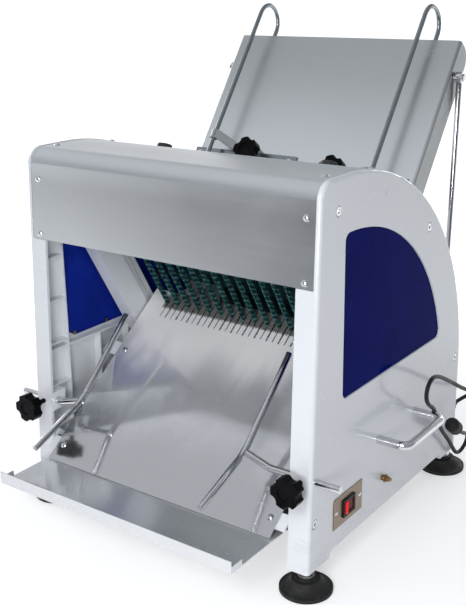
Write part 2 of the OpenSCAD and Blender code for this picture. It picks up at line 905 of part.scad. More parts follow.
// Angle brackets on the panels' rear edges that hold the prop rods' feet
ear_t = 3;
module prop_brackets() place() color("silver") both_sides() {
    half = 13;
    ear_x = prop_x + prop_eye_t / 2 + seat;
    difference() {
        union() {
            translate([ear_x, rear_y, prop_foot[1] - half])
                cube([outer_x - edge_round - ear_x, ear_t, 2 * half]);
            translate([ear_x, rear_y, prop_foot[1] - half])
                cube([ear_t, prop_foot[0] - rear_y, 2 * half]);
            bar_x(prop_foot, half, ear_x, ear_t);
        }
        bar_x(prop_foot, small_bolt_r + fit, 0, far);
    }
}

// Bolts of the table: brackets, prop rods and clamp bar
module table_bolts() place() color("silver") {
    r = small_bolt_r;
    hex_r = 6;
    hex_h = 4;
    both_sides() {
        in_table() at_table_bolts() {
            translate([0, 0, -hex_h]) cylinder(h = hex_h, r = hex_r, $fn = 6);
            cylinder(h = table_sheet + prop_gap + prop_eye_t, r = r);
        }
        in_table() translate([table_w / 2, prop_s, -table_fold / 2]) rotate([0, 90, 0]) {
            washer(prop_gap, r);
            translate([0, 0, prop_gap + prop_eye_t]) cylinder(h = hex_h, r = hex_r, $fn = 6);
        }
        bar_x(prop_foot, r, prop_x - prop_eye_t / 2 - hex_h, 2 * hex_h + prop_eye_t + ear_t + seat);
        translate([prop_x - prop_eye_t / 2 - hex_h, prop_foot[0], prop_foot[1]]) rotate([0, 90, 0])
            cylinder(h = hex_h, r = hex_r, $fn = 6);
    }
    in_table() for (p = bar_feet) translate(p) {
        translate([0, 0, bar_lift + bar_thick]) dome(2 * hex_r);
        translate([0, 0, -table_sheet - hex_h]) cylinder(h = hex_h, r = hex_r, $fn = 6);
        translate([0, 0, -table_sheet]) cylinder(h = table_sheet + bar_lift + bar_thick, r = r);
    }
}
module washer(h, r) {
    rim = 4;
    difference() {
        cylinder(h = h, r = r + rim);
        translate([0, 0, -over]) cylinder(h = h + 2 * over, r = r);
    }
}

// Flat bars across the table, one for each infeed guide to clamp to
bar_foot_in = 14;
bar_short = 4;
bar_out = table_w / 2 - bar_short;
foot_out = table_w / 2 - bar_foot_in;
foot_in = bar_end + bar_foot_in;
bar_feet = [
    [-foot_out, bar_left_s], [-foot_in, bar_left_s],
    [foot_in, bar_right_s], [foot_out, bar_right_s]
];
module guide_bar() place() color("silver") in_table() difference() {
    union() {
        translate([-bar_out, bar_left_s - bar_w / 2, bar_lift]) cube([bar_out - bar_end, bar_w, bar_thick]);
        translate([bar_end, bar_right_s - bar_w / 2, bar_lift]) cube([bar_out - bar_end, bar_w, bar_thick]);
        for (p = bar_feet)
            translate(p) cylinder(h = bar_lift + over, r = bar_w / 2 - over);
    }
    for (p = bar_feet)
        translate([p[0], p[1], -over]) cylinder(h = far, r = small_bolt_r + fit);
}

// Hairpin rod that hooks over the table's top edge
hairpin_low = -425;
hairpin_tail = -45;
module hairpin(x) {
    r = hairpin_d / 2;
    in_table() translate([x, 0, 0]) {
        translate([0, hairpin_low, hairpin_front]) rotate([-90, 0, 0])
            cylinder(h = hairpin_rise - hairpin_low, r = r);
        translate([0, hairpin_tail, -hairpin_back]) rotate([-90, 0, 0])
            cylinder(h = hairpin_rise - hairpin_tail, r = r);
        for (p = [[hairpin_low, hairpin_front], [hairpin_tail, -hairpin_back]])
            translate([0, p[0], p[1]]) sphere(r);
        translate([0, hairpin_rise, hairpin_mid]) rotate([0, 90, 0])
            rotate_extrude(angle = 180) translate([hairpin_r, 0]) circle(r);
    }
}
module infeed_guide_left() place() color("silver") hairpin(hairpin_left_x);
module infeed_guide_right() place() color("silver") hairpin(hairpin_right_x);

// Strap clip round a hairpin rod with the block that slides on its clamp bar
strap_w = 16;
strap_t = 3;
block_wall = 5;
module clip(x, block_x, bar_s, clip_s) {
    side = sign(block_x - x);
    r = hairpin_d / 2;
    in_table() difference() {
        union() {
            translate([block_x - block_len / 2, bar_s - bar_w / 2 - block_wall, gap])
                cube([block_len, bar_w + 2 * block_wall, block_top]);
            hull() {
                translate([x + side * (r + strap_t), clip_s, hairpin_front + r]) strap_end();
                translate([block_x - side * block_len / 3, bar_s, block_top]) strap_end();
            }
            translate([x, clip_s - strap_w / 2, hairpin_front]) rotate([-90, 0, 0])
                cylinder(h = strap_w, r = r + strap_t);
        }
        translate([-far / 2, bar_s - bar_w / 2 - seat, bar_lift - seat])
            cube([far, bar_w + 2 * seat, bar_thick + 2 * seat]);
        translate([block_x, bar_s, bar_lift]) cylinder(h = far, r = knob_stud_r + fit);
        translate([x, clip_s - strap_w, hairpin_front]) rotate([-90, 0, 0])
            cylinder(h = 2 * strap_w, r = r + fit);
    }
}
module strap_end() {
    cube([strap_t, strap_w, strap_t], center = true);
}
block_left_x = hairpin_left_x + reach_left;
block_right_x = hairpin_right_x - reach_right;
module infeed_clip_left() place() color("gray")
    clip(hairpin_left_x, block_left_x, bar_left_s, clip_left_s);
module infeed_clip_right() place() color("gray")
    clip(hairpin_right_x, block_right_x, bar_right_s, clip_right_s);

// Five lobed star knob on its stud; the stud points down from the local plane
knob_stud_r = 4;
module star_knob(stud_len) {
    lobes = 5;
    dent_r = knob_d * 0.2;
    dent_at = knob_d * 0.6;
    hub_r = knob_d * 0.24;
    hub_h = 7;
    dish = 1.5;
    difference() {
        union() {
            translate([0, 0, hub_h]) linear_extrude(knob_h) difference() {
                circle(knob_d / 2);
                for (i = [0 : lobes - 1])
                    rotate(i * 360 / lobes) translate([dent_at, 0]) circle(dent_r);
            }
            cylinder(h = hub_h + knob_h / 2, r = hub_r);
            translate([0, 0, -stud_len]) cylinder(h = stud_len + over, r = knob_stud_r);
        }
        translate([0, 0, hub_h + knob_h - dish]) cylinder(h = dish + over, r = hub_r);
    }
}
module infeed_knob(x, bar_s) {
    lift = 3;
    in_table() translate([x, bar_s, block_top + gap + lift])
        star_knob(block_top + gap + lift - bar_lift - bar_thick - seat);
}
module infeed_knob_left() place() color("black") infeed_knob(block_left_x, bar_left_s);
module infeed_knob_right() place() color("black") infeed_knob(block_right_x, bar_right_s);

// White box rails that the knife frames run along
module knife_rails() place() color("whitesmoke") both_sides() difference() {
    wall = 3;
    in_knife() difference() {
        translate([rail_in, -rail_back - rail_depth, rail_low])
            cube([rib_x - rail_in, rail_depth, rail_high - rail_low]);
        translate([rail_in + wall, -rail_back - rail_depth + wall, rail_low - over])
            cube([far, rail_depth - 2 * wall, rail_high - rail_low - wall]);
    }
    bar_x(tie_front, tie_r + gap, 0, far);
}

// Knife frame in knife coordinates; side is -1 for the front frame and +1 for the rear one
module knife_frame(side, lug_x) {
    mid = side * blade_plane;
    half_bar = bar_t / 2;
    in_knife() difference() {
        union() {
            for (s = [-bar_down, bar_up])
                translate([-side_bar_out, mid - half_bar, s - bar_h / 2])
                    cube([2 * side_bar_out, bar_t, bar_h]);
            for (x = [-side_bar_out, side_bar_in])
                translate([x, mid - half_bar, -bar_down])
                    cube([side_bar_w, bar_t, bar_down + bar_up]);
            both_sides() drive_lug(lug_x, mid);
        }
        for (x = knife_xs(side))
            knife_slots(x, mid);
    }
}
module knife_slots(x, mid) {
    wide = knife_t + 2 * fit;
    deep = bar_h * knife_hold;
    for (s = [-bar_down + bar_h / 2 - deep, bar_up - bar_h / 2])
        translate([x - wide / 2, mid - knife_w, s - (s < 0 ? 0 : gap)])
            cube([wide, 2 * knife_w, deep + gap]);
}
module drive_lug(x, mid) {
    boss_r = 12;
    along = pin_drop - bar_down;
    lug_x = x + conrod_t + gap;
    translate([lug_x, mid - bar_t / 2, -pin_drop]) cube([conrod_t, bar_t, along]);
    translate([lug_x, 0, -pin_drop]) rotate([0, 90, 0]) cylinder(h = conrod_t, r = boss_r);
}
module knife_frame_front() place() color("gainsboro") knife_frame(-1, rod_x_front);
module knife_frame_rear() place() color("gainsboro") knife_frame(1, rod_x_rear);

// Knives of one frame: even places in front, odd places behind
function knife_xs(side) = [
    for (i = [0 : knife_count - 1])
        if ((i % 2 == 0) == (side < 0)) (i - (knife_count - 1) / 2) * knife_pitch
];
module knife_blade(mid) {
    reach = bar_h * (1 - knife_hold) + fit;
    low = -bar_down - reach + fit;
    high = bar_up + reach - fit;
    teeth_low = -bar_down + bar_h;
    count = floor((bar_up - bar_h - teeth_low) / tooth_pitch);
    edge = mid + knife_w / 2;
    rotate([90, 0, 90]) translate([0, 0, -knife_t / 2]) linear_extrude(knife_t) polygon(concat(
        [[mid - knife_w / 2, high], [mid - knife_w / 2, low], [edge, low], [edge, teeth_low]],
        [for (i = [0 : count - 1], k = [0, 1])
            [edge - (k == 0 ? tooth_depth : 0), teeth_low + (i + (k + 1) / 2) * tooth_pitch]],
        [[edge, high]]
    ));
}
module knives(side) {
    in_knife() for (x = knife_xs(side))
        translate([x, 0, 0]) knife_blade(side * blade_plane);
}
module knives_front() place() color("darkslategray") knives(-1);
module knives_rear() place() color("darkslategray") knives(1);

// The slots of the rear knives are wider than the front ones by twice this
comb_spare = 0.4;
// Outfeed slide with the comb that the knives pass through
module outfeed_slide() place() color("silver") in_slide() difference() {
    translate([-slide_w / 2, -slide_drop, -slide_sheet]) cube([slide_w, slide_len, slide_sheet]);
    for (side = sides, x = knife_xs(side)) {
        w = comb_slot + side * comb_spare;
        translate([x - w / 2, comb_reach - comb_len, -far / 2]) cube([w, far, far]);
        translate([x, comb_reach - comb_len, -far / 2]) cylinder(h = far, r = w / 2);
    }
    at_slide_screws() translate([0, 0, -drill]) cylinder(h = 2 * drill, r = slide_screw_r + fit);
}
slide_screw_x = 208;
slide_screw_in = 30;
slide_low = -slide_drop + slide_screw_in;
slide_up = -118;
slide_screw_r = 2.5;
module at_slide_screws() {
    for (s = sides, y = [slide_low, slide_up])
        translate([s * slide_screw_x, y, 0]) children();
}
module slide_screws() place() color("silver") in_slide() at_slide_screws() {
    dome(dome_d);
    translate([0, 0, -slide_sheet - support_t])
        cylinder(h = slide_sheet + support_t, r = slide_screw_r);
}

// Cross bars under the slide with white ears on the panels
support_t = 4;
support_w = 26;
support_ear_r = 13;
module slide_supports() place() color("whitesmoke") difference() {
    union() {
        in_slide() for (y = [slide_low, slide_up])
            translate([-rib_x, y - support_w / 2, -slide_sheet - support_t])
                cube([2 * rib_x, support_w, support_t]);
        intersection() {
            both_sides() bar_x(support_bolt, support_ear_r, inner_x + gap, rib_x - inner_x - gap);
            in_slide() translate([-far, -far, -slide_sheet - seat - far])
                cube([2 * far, 2 * far, far]);
        }
    }
    in_slide() at_slide_screws() translate([0, 0, -drill]) cylinder(h = 2 * drill, r = slide_screw_r + fit);
    both_sides() bar_x(support_bolt, bolt_r + fit, rib_x - bolt_depth, far);
    both_sides() translate([inner_x - seat, front_toe - far, 0])
        cube([far, far - front_toe + front_at(support_bolt[1]) + rim_wall + over, 2 * support_bolt[1]]);
}

// Pull-out crumb tray with a lip at its front
module crumb_tray() place() color("silver") {
    half = tray_w / 2;
    wing = 26;
    low = tray_z - tray_sheet;
    translate([-half, tray_front, low]) cube([tray_w, tray_rear - tray_front, tray_sheet]);
    translate([-half, tray_front, low]) cube([tray_w, tray_sheet, tray_lip + tray_sheet]);
    for (x = [-half, half - tray_sheet])
        translate([x, tray_front, low]) cube([tray_sheet, wing, tray_lip / 2 + tray_sheet]);
}

// Angle runners that carry the tray
runner_front = 4;
runner_t = 2;
module tray_runners() place() color("dimgray") both_sides() {
    top = tray_z - tray_sheet - seat;
    shelf = 12;
    wall_h = 11;
    translate([tray_w / 2 - shelf, runner_front, top - runner_t])
        cube([rib_x - tray_w / 2 + shelf, tray_rear - runner_front, runner_t]);
    translate([rib_x - runner_t, runner_front, top - runner_t])
        cube([runner_t, tray_rear - runner_front, wall_h]);
}

// Straight round rod from a to b, and one bent at b on the way from a to c
module facing(a, d) {
    translate(a) rotate([0, acos(d[2] / norm(d)), atan2(d[1], d[0])]) children();
}
module rod(a, b, r) {
    facing(a, b - a) cylinder(h = norm(b - a), r = r);
}
module bent_rod(a, b, c, bend, r) {
    u = unit(a - b);
    w = unit(c - b);
    half = acos(u * w) / 2;
    p = b + bend / tan(half) * u;
    q = b + bend / tan(half) * w;
    mid = b + bend / sin(half) * unit(u + w);
    e = unit(p - mid);
    n = unit(cross(e, q - mid));
    f = cross(n, e);
    rod(a, p, r);
    rod(c, q, r);
    facing(p, u) cylinder(h = ring_w, r = r + fuller, center = true);
    facing(q, w) cylinder(h = ring_w, r = r + fuller, center = true);
    multmatrix([for (i = [0 : 2]) [e[i], f[i], n[i], mid[i]]])
        rotate_extrude(angle = 180 - 2 * half) translate([bend, 0]) circle(r);
}

// Outfeed guide: a bent rod over the slide, carried by a shaft through the panel; side is +1 to the right
guide_high = [128, 310];
guide_knee = [8, shaft_z + guide_rise];
guide_low = [-101, 152];
// Radius of the rod's bend, and of the shaft's
guide_bend = 90;
stem_bend = 28;
// Rings at a bend's ends and bead of the weld on the shaft, fuller than the rod
ring_w = 2;
fuller = 0.15;
weld = 1;
module outfeed_guide(x, side) {
    r = shaft_d / 2;
    bend = [x + side * shaft_bend, shaft_y, shaft_z];
    tip = [side * (outer_x + shaft_stub), shaft_y, shaft_z];
    high = [x, guide_high[0], guide_high[1]];
    knee = [x, guide_knee[0], guide_knee[1]];
    low = [x, guide_low[0], guide_low[1]];
    bent_rod(high, knee, low, guide_bend, guide_d / 2);
    bent_rod(tip, bend, knee, stem_bend, r);
    translate(knee) sphere(r + weld);
}
module outfeed_guide_left() place() color("silver") outfeed_guide(guide_left_x, -1);
module outfeed_guide_right() place() color("silver") outfeed_guide(guide_right_x, 1);

knob_out = 18;
module outfeed_knob(side) {
    base = front_at(shaft_z) - knob_out;
    translate([side * foot_x, base, shaft_z]) rotate([90, 0, 0])
        star_knob(shaft_y - shaft_d / 2 - seat - base);
}
module outfeed_knob_left() place() color("black") outfeed_knob(-1);
module outfeed_knob_right() place() color("black") outfeed_knob(1);

// Carrying handle: a bent tube with both ends through the panel
handle_mid = 252.5;
handle_ys = [handle_mid - handle_len / 2, handle_mid + handle_len / 2];
module handle() {
    r = handle_d / 2;
    bend = handle_d;
    bar_out = outer_x + handle_reach;
    collar_rim = 4;
    collar_h = 4;
    for (y = handle_ys) {
        bar_x([y, handle_z], r, skin_x - collar_h / 2, bar_out - bend - skin_x + collar_h / 2);
        bar_x([y, handle_z], r + collar_rim, skin_x - collar_h, collar_h - fit);
    }
    translate([bar_out, handle_ys[0] + bend, handle_z]) rotate([-90, 0, 0])
        cylinder(h = handle_len - 2 * bend, r = r);
    translate([bar_out - bend, handle_ys[1] - bend, handle_z])
        rotate_extrude(angle = 90) translate([bend, 0]) circle(r);
    translate([bar_out - bend, handle_ys[0] + bend, handle_z]) rotate([0, 0, -90])
        rotate_extrude(angle = 90) translate([bend, 0]) circle(r);
}
module handle_right() place() color("silver") handle();
module handle_left() place() color("silver") mirror([1, 0, 0]) handle();

// Rubber feet on threaded studs
module at_feet() {
    for (s = sides, y = foot_ys)
        translate([s * foot_x, y, 0]) children();
}
pad_h = 24;
module foot_pads() place() color("black") at_feet() difference() {
    rim_h = 6;
    neck_r = 17;
    ledge = 3;
    shoulder = foot_d / 2 - neck_r - ledge;
    rotate_extrude() difference() {
        union() {
            square([foot_d / 2, rim_h]);
            square([neck_r, pad_h]);
            translate([0, rim_h - over]) square([neck_r + shoulder, pad_h - rim_h - ledge]);
        }
        translate([neck_r + shoulder + ledge, pad_h + over]) circle(pad_h - rim_h + over);
    }
    translate([0, 0, stud_floor]) cylinder(h = pad_h, r = stud_r + fit);
}
module foot_studs() place() color("silver") at_feet() {
    nut_r = stud_r * 1.8;
    washer_r = stud_r * 2.2;
    washer_h = 3;
    translate([0, 0, stud_floor]) cylinder(h = base_z - stud_floor, r = stud_r);
    translate([0, 0, leg_z - lock_nut_h]) cylinder(h = lock_nut_h - fit, r = nut_r, $fn = 6);
    translate([0, 0, pad_h]) cylinder(h = washer_h, r = washer_r);
}

// Switch plate with its rocker, on the right panel
plate_screw_in = 7;
plate_screw_y = plate_w / 2 - plate_screw_in;
plate_screw_up = 2;
plate_corner = 6;
bezel_out = 3;
bezel_rim = 2;
bezel_wall = 2;
bezel_deep = 12;
well_deep = 8;
switch_fit = 0.2;
module centred(w, h) {
    translate([plate_y - w / 2, plate_z - h / 2]) square([w, h]);
}
module switch_cutout() {
    centred(bezel_w - 2 * bezel_rim, bezel_h - 2 * bezel_rim);
}
module at_plate_screws() {
    for (s = sides)
        translate([outer_x + plate_t, plate_y + s * plate_screw_y, plate_z + plate_screw_up])
            rotate([0, 90, 0]) children();
}
module switch_plate() place() color("tan") difference() {
    along_x(outer_x, plate_t) difference() {
        centred(plate_w, plate_h);
        corner_waste([plate_y - plate_w / 2, plate_z + plate_h / 2] + plate_corner * [1, -1],
            [-1, 0], [0, 1], plate_corner);
    }
    along_x(outer_x - over, plate_t + 2 * over) switch_cutout();
    at_plate_screws() translate([0, 0, -drill]) cylinder(h = 2 * drill, r = cover_screw_r + fit);
}
module switch_bezel() place() color("black") difference() {
    neck = 2 * (bezel_rim + switch_fit);
    well = 2 * (bezel_rim + bezel_wall);
    union() {
        along_x(outer_x + plate_t, bezel_out) centred(bezel_w, bezel_h);
        along_x(skin_x - bezel_deep, panel_skin + plate_t + bezel_deep + over)
            centred(bezel_w - neck, bezel_h - neck);
    }
    along_x(outer_x - well_deep, far) centred(bezel_w - well, bezel_h - well);
}
module switch_rocker() place() color("red") {
    side_room = 0.6;
    well = 2 * (bezel_rim + bezel_wall);
    half = (bezel_w - well) / 2 - side_room;
    tall = bezel_h - well - 2 * side_room;
    deep = 6;
    crown = 3.5;
    dip = 2;
    root = half * 0.8;
    tip = half * 0.97;
    translate([outer_x + plate_t, plate_y, plate_z - tall / 2]) rotate([0, 0, rocker_tilt])
        linear_extrude(tall)
            polygon([[-deep, -root], [crown, -tip], [crown - dip, 0], [crown, tip], [-deep, root]]);
}
earth_r = 3;
module earth_stud() place() color("goldenrod") {
    nut_r = 5.4;
    nut_h = 5;
    lock_h = 4;
    washer_r = 6.6;
    washer_h = 2;
    tail = 6;
    reach = 16;
    bar_x(earth_pos, earth_r, skin_x - tail, panel_skin + tail + reach);
    translate([outer_x, earth_pos[0], earth_pos[1]]) rotate([0, 90, 0]) {
        cylinder(h = nut_h, r = nut_r, $fn = 6);
        translate([0, 0, nut_h]) cylinder(h = washer_h, r = washer_r);
        translate([0, 0, nut_h + washer_h]) cylinder(h = lock_h, r = nut_r, $fn = 6);
    }
}

// Foot mounted motor on the base plate
motor_room = 34;
motor_x = belt_x - belt_t / 2 + motor_room;
motor_shaft_r = 7;
hub_h = 8;
shaft_in = 6;
module motor() place() color("dimgray") {
    hub_r = 16;
    foot_w = 76;
    foot_len = 30;
    foot_at = 24;
    fins = 18;
    fin_h = 3;
    fin_t = 2;
    fin_at = 14;
    fan_end = 30;
    hug = 0.75;
    bar_x(motor_pos, motor_r - fin_h, motor_x, motor_len);
    for (i = [0 : fins - 1])
        translate([motor_x + fin_at, motor_pos[0], motor_pos[1]]) rotate([i * 360 / fins, 0, 0])
            translate([0, -fin_t / 2, motor_r - fin_h - fin_t])
                cube([motor_len - fin_at - fan_end, fin_t, fin_h + fin_t]);
    difference() {
        bar_x(motor_pos, hub_r, motor_x - hub_h, hub_h + shaft_in);
        bar_x(motor_pos, motor_shaft_r + fit, motor_x - hub_h - over, hub_h + 2 * over);
    }
    for (x = [motor_x + foot_at, motor_x + motor_len - foot_at - foot_len])
        translate([x, motor_pos[0] - foot_w / 2, base_top])
            cube([foot_len, foot_w, motor_pos[1] - motor_r * hug - base_top]);
}
module motor_pulley() place() color("gray") {
    near = belt_x - pulley_w / 2;
    bar_x(motor_pos, motor_shaft_r, near, motor_x - hub_h + shaft_in - seat - near);
    grooved_pulley(motor_pos, motor_pulley_r);
}
// V-groove pulley centred on the belt's plane
groove_flare = 2;
belt_slack = 1.4;
module grooved_pulley(pos, r) {
    half = pulley_w / 2;
    mouth = belt_t / 2 + groove_flare;
    root = belt_t / 2 - groove_flare / 2;
    floor_r = r - belt_t;
    translate([belt_x, pos[0], pos[1]]) rotate([0, 90, 0]) rotate_extrude() polygon([
        [0, -half], [r, -half], [r, -mouth], [floor_r, -root],
        [floor_r, root], [r, mouth], [r, half], [0, half]
    ]);
}
module drive_belt() place() color("black") {
    r1 = crank_pulley_r - belt_t + seat;
    r2 = motor_pulley_r - belt_t + seat;
    thick = belt_t - over;
    along_x(belt_x - belt_t / 2 + belt_slack, belt_t - 2 * belt_slack) difference() {
        belt_outline(r1 + thick, r2 + thick);
        belt_outline(r1, r2);
    }
}
// Two arcs joined by their outer tangents
module belt_outline(r1, r2) {
    steps = 24;
    a = acos((r1 - r2) / belt_centres);
    translate(crank_pos) polygon(concat(
        arc_points([0, 0], r1, a, 360 - a, steps), arc_points([belt_centres, 0], r2, -a, a, steps)
    ));
}
function arc_points(c, r, from, to, steps) = [
    for (i = [0 : steps])
        let (t = from + (to - from) * i / steps) c + r * [cos(t), sin(t)]
];

// Crankshaft with two pairs of eccentrics half a turn apart
shaft_end = 10;
module crankshaft() place() color("silver") {
    half = rod_x_front + conrod_t + shaft_end;
    bar_x(crank_pos, crank_r, -half, 2 * half);
    both_sides() {
        eccentric(rod_x_front, 1);
        eccentric(rod_x_rear, -1);
    }
}
function ecc_pos(way) = knife_pt(-crank_drop, way * ecc);
module eccentric(x, way) {
    bar_x(ecc_pos(way), ecc_r, x - gap, conrod_t + 2 * gap);
}
module crank_pulley() place() color("gray") difference() {
    grooved_pulley(crank_pos, crank_pulley_r);
    bar_x(crank_pos, crank_r + fit, -far / 2, far);
}
// Connecting rods: a strap round the eccentric and an eye beside the frame's lug
module conrod(x, way) {
    eye_r = 12;
    strap_wall = 9;
    strap_r = ecc_r + strap_wall;
    pin_r = 5;
    shank_w = 16;
    big = ecc_pos(way);
    eye = knife_pt(-pin_drop, 0);
    d = eye - big;
    along_x(x, conrod_t) difference() {
        union() {
            translate(big) circle(strap_r);
            translate(eye) circle(eye_r);
            translate(big) rotate(atan2(d[1], d[0]))
                translate([0, -shank_w / 2]) square([norm(d), shank_w]);
        }
        translate(big) circle(ecc_r + fit);
        translate(eye) circle(pin_r);
    }
}
module conrods_front() place() color("gray") both_sides() conrod(rod_x_front, 1);
module conrods_rear() place() color("gray") both_sides() conrod(rod_x_rear, -1);

// Pillow blocks of the crankshaft
module bearings() place() color("dimgray") both_sides() difference() {
    x = bearing_x - bearing_t / 2;
    cap_r = 24;
    foot = 84;
    foot_h = 12;
    union() {
        bar_x(crank_pos, cap_r, x, bearing_t);
        translate([x, crank_pos[0] - cap_r, base_top])
            cube([bearing_t, 2 * cap_r, crank_pos[1] - base_top]);
        translate([x, crank_pos[0] - foot / 2, base_top]) cube([bearing_t, foot, foot_h]);
    }
    bar_x(crank_pos, crank_r + fit, x - over, bearing_t + 2 * over);
}

// Cord gland in the right panel's rear edge
gland_r = 7;
module cord_gland() place() color("black") translate([gland_x, rear_y, gland_z]) rotate([-90, 0, 0]) {
    nut_h = 6;
    nut_r = gland_r * 1.25;
    inside = -rim_wall - nut_h;
    head_h = 8;
    head_r = gland_r * 1.5;
    mouth = 1;
    translate([0, 0, inside]) cylinder(h = nut_h - fit, r = nut_r, $fn = 6);
    translate([0, 0, inside]) cylinder(h = head_h - inside, r = gland_r);
    cylinder(h = head_h, r = head_r, $fn = 6);
    translate([0, 0, head_h])
        cylinder(h = cord_start[1] - rear_y - head_h, r1 = gland_r, r2 = cord_d / 2 + mouth);
}

// Cord swept along its route
cord_start = cord_route[0];
function tangent_at(p, i) = unit(p[min(i + 1, len(p) - 1)] - p[max(i - 1, 0)]);
function ring(c, t, r, n) =
    let (side = unit(cross(t, abs(t[2]) < 0.9 ? [0, 0, 1] : [1, 0, 0])), up = cross(side, t))
    [for (k = [0 : n - 1]) c + r * (cos(360 * k / n) * side + sin(360 * k / n) * up)];
module tube(path, r) {
    n = 10;
    last = len(path) - 1;
    rings = [for (i = [0 : last]) each ring(path[i], tangent_at(path, i), r, n)];
    walls = [for (i = [0 : last - 1], k = [0 : n - 1], h = [0, 1])
        let (a = i * n + k, b = i * n + (k + 1) % n)
        h == 0 ? [a, a + n, b] : [b, a + n, b + n]];
    ends = [[for (k = [0 : n - 1]) k], [for (k = [n - 1 : -1 : 0]) last * n + k]];
    polyhedron(rings, concat(walls, ends));
}
module cord() place() color("black") tube(cord_route, cord_d / 2);

// Plug at the cord's end
module plug() place() color("black") {
    last = len(cord_route) - 1;
    end = cord_route[last];
    d = unit(end - cord_route[last - 1]);
    relief = 12;
    body_r = 12.5;
    body_len = 26;
    mouth = 1;
    shoulder = 2;
    translate(end) rotate([0, acos(d[2]), atan2(d[1], d[0])]) {
        cylinder(h = relief, r1 = cord_d / 2 + mouth, r2 = body_r - shoulder);
        translate([0, 0, relief]) cylinder(h = body_len, r = body_r);
        translate([0, 0, relief + body_len]) dome(2 * body_r);
    }
}

side_panel_left();
side_panel_right();
window_left();
window_right();
window_screws();
panel_screws();
tie_bars();
base_plate();
rear_cover();
cover_screws();
hood_cover();
hood_screws();
hood_knob_left();
hood_knob_right();
infeed_table();
table_brackets();
prop_rod_left();
prop_rod_right();
prop_brackets();
table_bolts();
guide_bar();
infeed_guide_left();
infeed_guide_right();
infeed_clip_left();
infeed_clip_right();
infeed_knob_left();
infeed_knob_right();
knife_rails();
knife_frame_front();
knife_frame_rear();
knives_front();
knives_rear();
outfeed_slide();
slide_supports();
slide_screws();
crumb_tray();
tray_runners();
outfeed_guide_left();
outfeed_guide_right();
outfeed_knob_left();
outfeed_knob_right();
handle_left();
handle_right();
foot_pads();
foot_studs();
switch_plate();
switch_bezel();
switch_rocker();
earth_stud();
motor();
motor_pulley();
drive_belt();
crankshaft();
crank_pulley();
bearings();
conrods_front();
conrods_rear();
cord_gland();
cord();
plug();
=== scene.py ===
import math

import bpy
from mathutils import Matrix, Vector


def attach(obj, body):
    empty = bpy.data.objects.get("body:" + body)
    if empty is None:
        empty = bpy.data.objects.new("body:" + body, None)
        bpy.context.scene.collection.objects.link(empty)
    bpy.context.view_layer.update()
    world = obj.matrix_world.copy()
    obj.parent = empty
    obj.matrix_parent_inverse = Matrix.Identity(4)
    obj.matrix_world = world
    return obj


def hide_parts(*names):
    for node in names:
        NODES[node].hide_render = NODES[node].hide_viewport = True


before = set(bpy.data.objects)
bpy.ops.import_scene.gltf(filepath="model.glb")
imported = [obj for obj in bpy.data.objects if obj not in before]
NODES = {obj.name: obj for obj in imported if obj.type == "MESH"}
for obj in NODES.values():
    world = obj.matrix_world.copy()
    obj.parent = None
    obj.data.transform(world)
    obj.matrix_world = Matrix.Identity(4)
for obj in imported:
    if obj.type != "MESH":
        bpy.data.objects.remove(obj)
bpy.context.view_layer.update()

SCENE = bpy.context.scene
# The part source's Y minus the row frame's Y, in millimetres
MID_Y = 229.138
MM_PER_M = 1000


def at(x, y, z):
    """A point of the part source, in millimetres, as a point of the row frame in metres."""
    return Vector((x / MM_PER_M, (y - MID_Y) / MM_PER_M, z / MM_PER_M))


def put(name, data):
    """A new object with the given data, in the scene."""
    made = bpy.data.objects.new(name, data)
    SCENE.collection.objects.link(made)
    return made


# Camera, solved from the photograph

CAMERA_SPOT = (0.91786, -1.29392, 0.85825)
CAMERA_YAW = math.radians(36.19)
CAMERA_PITCH = math.radians(18.2)
CAMERA_ROLL = math.radians(-0.93)
CAMERA_LENS = 59.34
CAMERA_SENSOR = 36
CAMERA_CLIP = (0.05, 100)


def make_camera():
    level = math.cos(CAMERA_PITCH)
    forth, aside = math.cos(CAMERA_YAW), math.sin(CAMERA_YAW)
    ahead = Vector((-aside * level, forth * level, -math.sin(CAMERA_PITCH)))
    right = Vector((forth, aside, 0))
    up = right.cross(ahead)
    rolled_right = math.cos(CAMERA_ROLL) * right + math.sin(CAMERA_ROLL) * up
    rolled_up = -math.sin(CAMERA_ROLL) * right + math.cos(CAMERA_ROLL) * up
    data = bpy.data.cameras.new("camera")
    data.lens = CAMERA_LENS
    data.sensor_width = CAMERA_SENSOR
    data.clip_start, data.clip_end = CAMERA_CLIP
    camera = put("camera", data)
    turn = Matrix((rolled_right, rolled_up, -ahead)).transposed().to_4x4()
    camera.matrix_world = Matrix.Translation(CAMERA_SPOT) @ turn
    SCENE.camera = camera


# Node helpers

